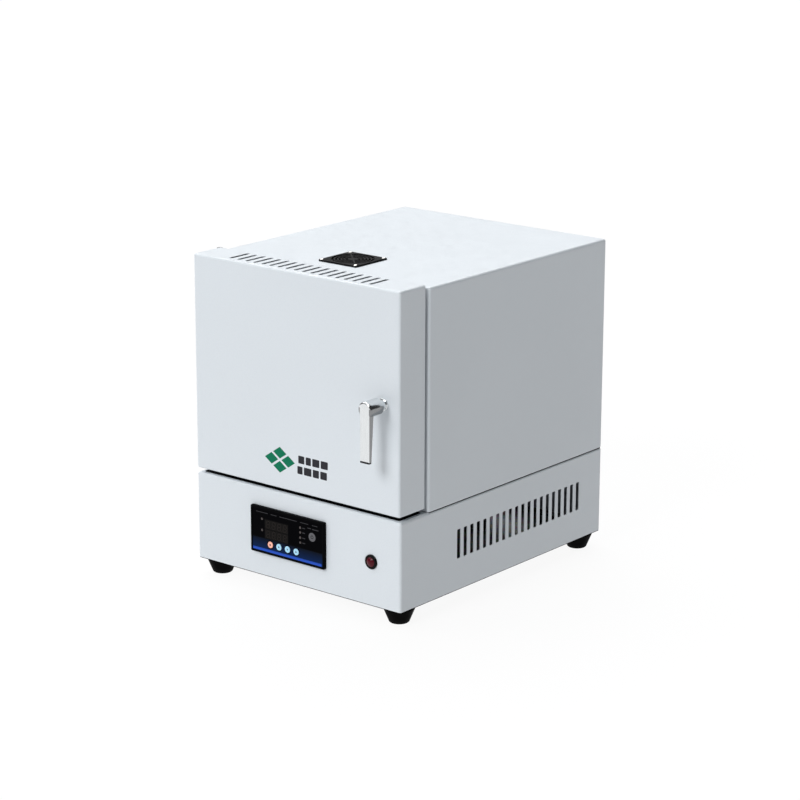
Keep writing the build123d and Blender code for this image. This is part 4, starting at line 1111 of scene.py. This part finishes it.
# Each dash's left end, its height and its length: the top row, the row below it, and one beside
# each lens on the right.
TOP_DASHES = [(-68, 30.6, 26), (-36, 30.6, 13), (-17, 30.6, 38), (28, 30.6, 18), (54, 30.6, 12)]
LOWER_DASHES = [(44, 24.4, 8), (54, 24.0, 14)] + [(33, dz + 0.2, 6) for _, dz in RIGHT_LENSES]
TOP_DASH, LOWER_DASH = 1.1, 1.5
MARK = (54, 10.5)
MARK_RADIUS, MARK_HOLE, MARK_DOT = 7.4 * MM, 2.9 * MM, 2.0 * MM


def make_controller_marks():
    """Indicator lenses, plain dashes where a legend would be, and a plain round mark."""
    front = window_front()
    lens = glossy("indicator_lens", (0.072, 0.062, 0.060), 0.2, specular=0.15)
    lenses = Build()
    for place in LEFT_LENSES + RIGHT_LENSES:
        x, z = on_panel(*place)
        dome(lenses, x, z, LENS_RADIUS, front, -LENS_RISE, LENS_RADIUS * 0.02, 20)
    panel_piece("indicator_lenses", lenses, lens, smooth=True)
    ink = printed("legend_ink", (0.036, 0.036, 0.040), 0.4)
    legend = Build()
    for dashes, thick in ((TOP_DASHES, TOP_DASH), (LOWER_DASHES, LOWER_DASH)):
        for left, level, length in dashes:
            spans = (left, left + length), (level - thick / 2, level + thick / 2)
            legend.prism(panel_box(*spans, 0.4), front - INK, front)
    panel_piece("controller_legend", legend, ink)
    pale = printed("mark_ink", (0.115, 0.115, 0.125), 0.4)
    middle = on_panel(*MARK)
    ring, hole = circle(*middle, MARK_RADIUS, 40), circle(*middle, MARK_HOLE, 32)
    plate_with_holes(
        "controller_mark", ring, [hole], front - INK, front, pale, "cabinet"
    )
    dot = Build()
    dot.prism(circle(*middle, MARK_DOT, 24), front - INK, front)
    panel_piece("controller_mark_dot", dot, pale)


DOT_RADIUS = 1.5 * MM
ARROW_SIZE = 2.0 * MM
LEFT_ARROW = [(-1, 0), (0.6, -0.9), (0.6, 0.9)]
DOWN_ARROW = [(0, -1), (0.9, 0.6), (-0.9, 0.6)]
UP_ARROW = [(0, 1), (-0.9, -0.6), (0.9, -0.6)]


def make_key_symbols():
    """A plain dot and three triangles, one on each key, riding with the keys."""
    ink = printed("symbol_ink", (0.05, 0.06, 0.10), 0.45)
    for (node, body), arrow in zip(KEYS, (None, LEFT_ARROW, DOWN_ARROW, UP_ARROW)):
        front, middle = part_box(node)[0].y, box_middle(node)
        if arrow is None:
            outline = circle(middle.x, middle.z, DOT_RADIUS, 20)
        else:
            outline = [(middle.x + x * ARROW_SIZE, middle.z + z * ARROW_SIZE) for x, z in arrow]
        build = Build()
        build.prism(outline, front - INK, front)
        slot = "key_orange" if arrow is None else "key_blue"
        build.piece(body + "_symbol", ink, body, slot, smooth=False)


# ---- door decal and rating plate ----------------------------------------------------------
# Places on the decal are in mm from the middle of the door's bottom edge.
TILES_MIDDLE = (-34, 49)
TILE_STEPS = ((-18, 0), (18, 0), (0, 12), (0, -12))
TILE_CORNERS = ((14.5, 0), (0, 10), (-14.5, 0), (0, -10))
# The height of each row's middle, and the left and right of each of its blocks.
BLOCK_ROWS = (
    (57.5, ((6, 19), (22, 33), (36, 51), (54, 69))),
    (39.5, ((4, 15), (18, 34), (37, 50), (53, 67))),
)
BLOCK_HALF_HEIGHT = 6.5
BLOCK_CORNER = 1.4 * MM


def make_door_decal():
    """Generic decal of plain shapes: four green tiles in a diamond, and two rows of dark blocks."""
    low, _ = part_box("door_shell")
    front, foot = low.y, low.z
    green = printed("decal_green", (0.006, 0.165, 0.085), 0.35)
    dark = printed("decal_grey", (0.030, 0.030, 0.036), 0.35)
    tiles = Build()
    for dx, dz in TILE_STEPS:
        x, z = (TILES_MIDDLE[0] + dx) * MM, foot + (TILES_MIDDLE[1] + dz) * MM
        tiles.prism([(x + px * MM, z + pz * MM) for px, pz in TILE_CORNERS], front - INK, front)
    tiles.piece("door_decal_tiles", green, "door", "casing", smooth=False)
    blocks = Build()
    for middle, spans in BLOCK_ROWS:
        bottom, top = middle - BLOCK_HALF_HEIGHT, middle + BLOCK_HALF_HEIGHT
        up = (foot + bottom * MM, foot + top * MM)
        for left, right in spans:
            outline = soft_box((left * MM, right * MM), up, BLOCK_CORNER)
            blocks.prism(outline, front - INK, front)
    blocks.piece("door_decal_blocks", dark, "door", "casing", smooth=False)


PLATE_SPAN = (-141 * MM, -101 * MM)
PLATE_HALF_HEIGHT = 15 * MM
PLATE_BELOW_MIDDLE = 4 * MM
PLATE_CORNER = 2.5 * MM
PLATE_THICK = 0.5 * MM
RIVET_INSET = 3.5 * MM
RIVET_RADIUS = 1.6 * MM
RIVET_RISE = 0.9 * MM
RIVET_TIP = 0.04 * MM


def make_rating_plate():
    """Blank aluminium plate on the rear service panel, held by two rivets."""
    low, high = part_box("base_rear_panel")
    face = high.y + PLATE_THICK
    metal = brushed("plate_aluminium", (0.74, 0.75, 0.76), 0.34, "x")
    middle = (low.z + high.z) / 2 - PLATE_BELOW_MIDDLE
    up = (middle - PLATE_HALF_HEIGHT, middle + PLATE_HALF_HEIGHT)
    plate = Build()
    plate.prism(soft_box(PLATE_SPAN, up, PLATE_CORNER), high.y, face)
    plate.piece("rating_plate", metal, "cabinet", "zinc_steel", smooth=False)
    rivets = Build()
    for x in (PLATE_SPAN[0] + RIVET_INSET, PLATE_SPAN[1] - RIVET_INSET):
        dome(rivets, x, middle, RIVET_RADIUS, face, RIVET_RISE, RIVET_TIP, 16)
    rivets.piece("rating_plate_rivets", MATERIALS["screw_steel"], "cabinet", "screw_steel")


# ---- floor --------------------------------------------------------------------------------
FLOOR_REACH = 45.0
FLOOR_GLOW = 0.93
SHADED_GLOW = 0.05
SHADE_INSET = 110 * MM
SHADE_EDGE = 30.0


def floor_glow(f):
    """Strength of the floor's own light: full round the object, and faint inside its outline as a
    painted shadow under it.
    """
    low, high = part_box("base_shell")
    x, y, _ = f.axes()
    beside = f.math("SUBTRACT", f.math("ABSOLUTE", x), high.x - SHADE_INSET)
    along = f.math("ABSOLUTE", f.math("SUBTRACT", y, (low.y + high.y) / 2))
    behind = f.math("SUBTRACT", along, (high.y - low.y) / 2 - SHADE_INSET)
    clear = f.math("MULTIPLY", f.math("MAXIMUM", beside, behind), SHADE_EDGE, clamp=True)
    share = f.math("ADD", f.math("MULTIPLY", clear, 1 - SHADED_GLOW), SHADED_GLOW)
    return f.math("MULTIPLY", share, FLOOR_GLOW)


def make_floor():
    """Plain floor, wide enough to fill the view and lit from below like a light table."""
    f = Finish("pale_floor", (0.06, 0.06, 0.06), 0.85, specular=0.02)
    f.colour(f.mottle(f.noise(0.6, 2.0), (0.058, 0.058, 0.059), (0.062, 0.062, 0.063)))
    f.set("Emission Color", (*WHITE, 1))
    f.link(floor_glow(f), f.shader.inputs["Emission Strength"])
    around = ((-1, -1), (1, -1), (1, 1), (-1, 1))
    corners = [(x * FLOOR_REACH, y * FLOOR_REACH, 0) for x, y in around]
    mesh = bpy.data.meshes.new("floor")
    mesh.from_pydata(corners, [], [[0, 1, 2, 3]])
    mesh.materials.append(f.material)
    floor = bpy.data.objects.new("floor", mesh)
    bpy.context.scene.collection.objects.link(floor)


# ---- put it together ----------------------------------------------------------------------
make_camera()
make_lights()
make_floor()
paint_cad()
for side, heater in ((-1, "left_heater"), (1, "right_heater")):
    make_heater(heater)
    make_staples(side, heater)
make_seal()
make_rotor()
for bead in SHADE_BEADS:
    make_shade_bead(*bead)
make_gap_shade_strip()
make_controller_print()
make_controller_figures()
make_controller_marks()
make_key_symbols()
make_door_decal()
make_rating_plate()
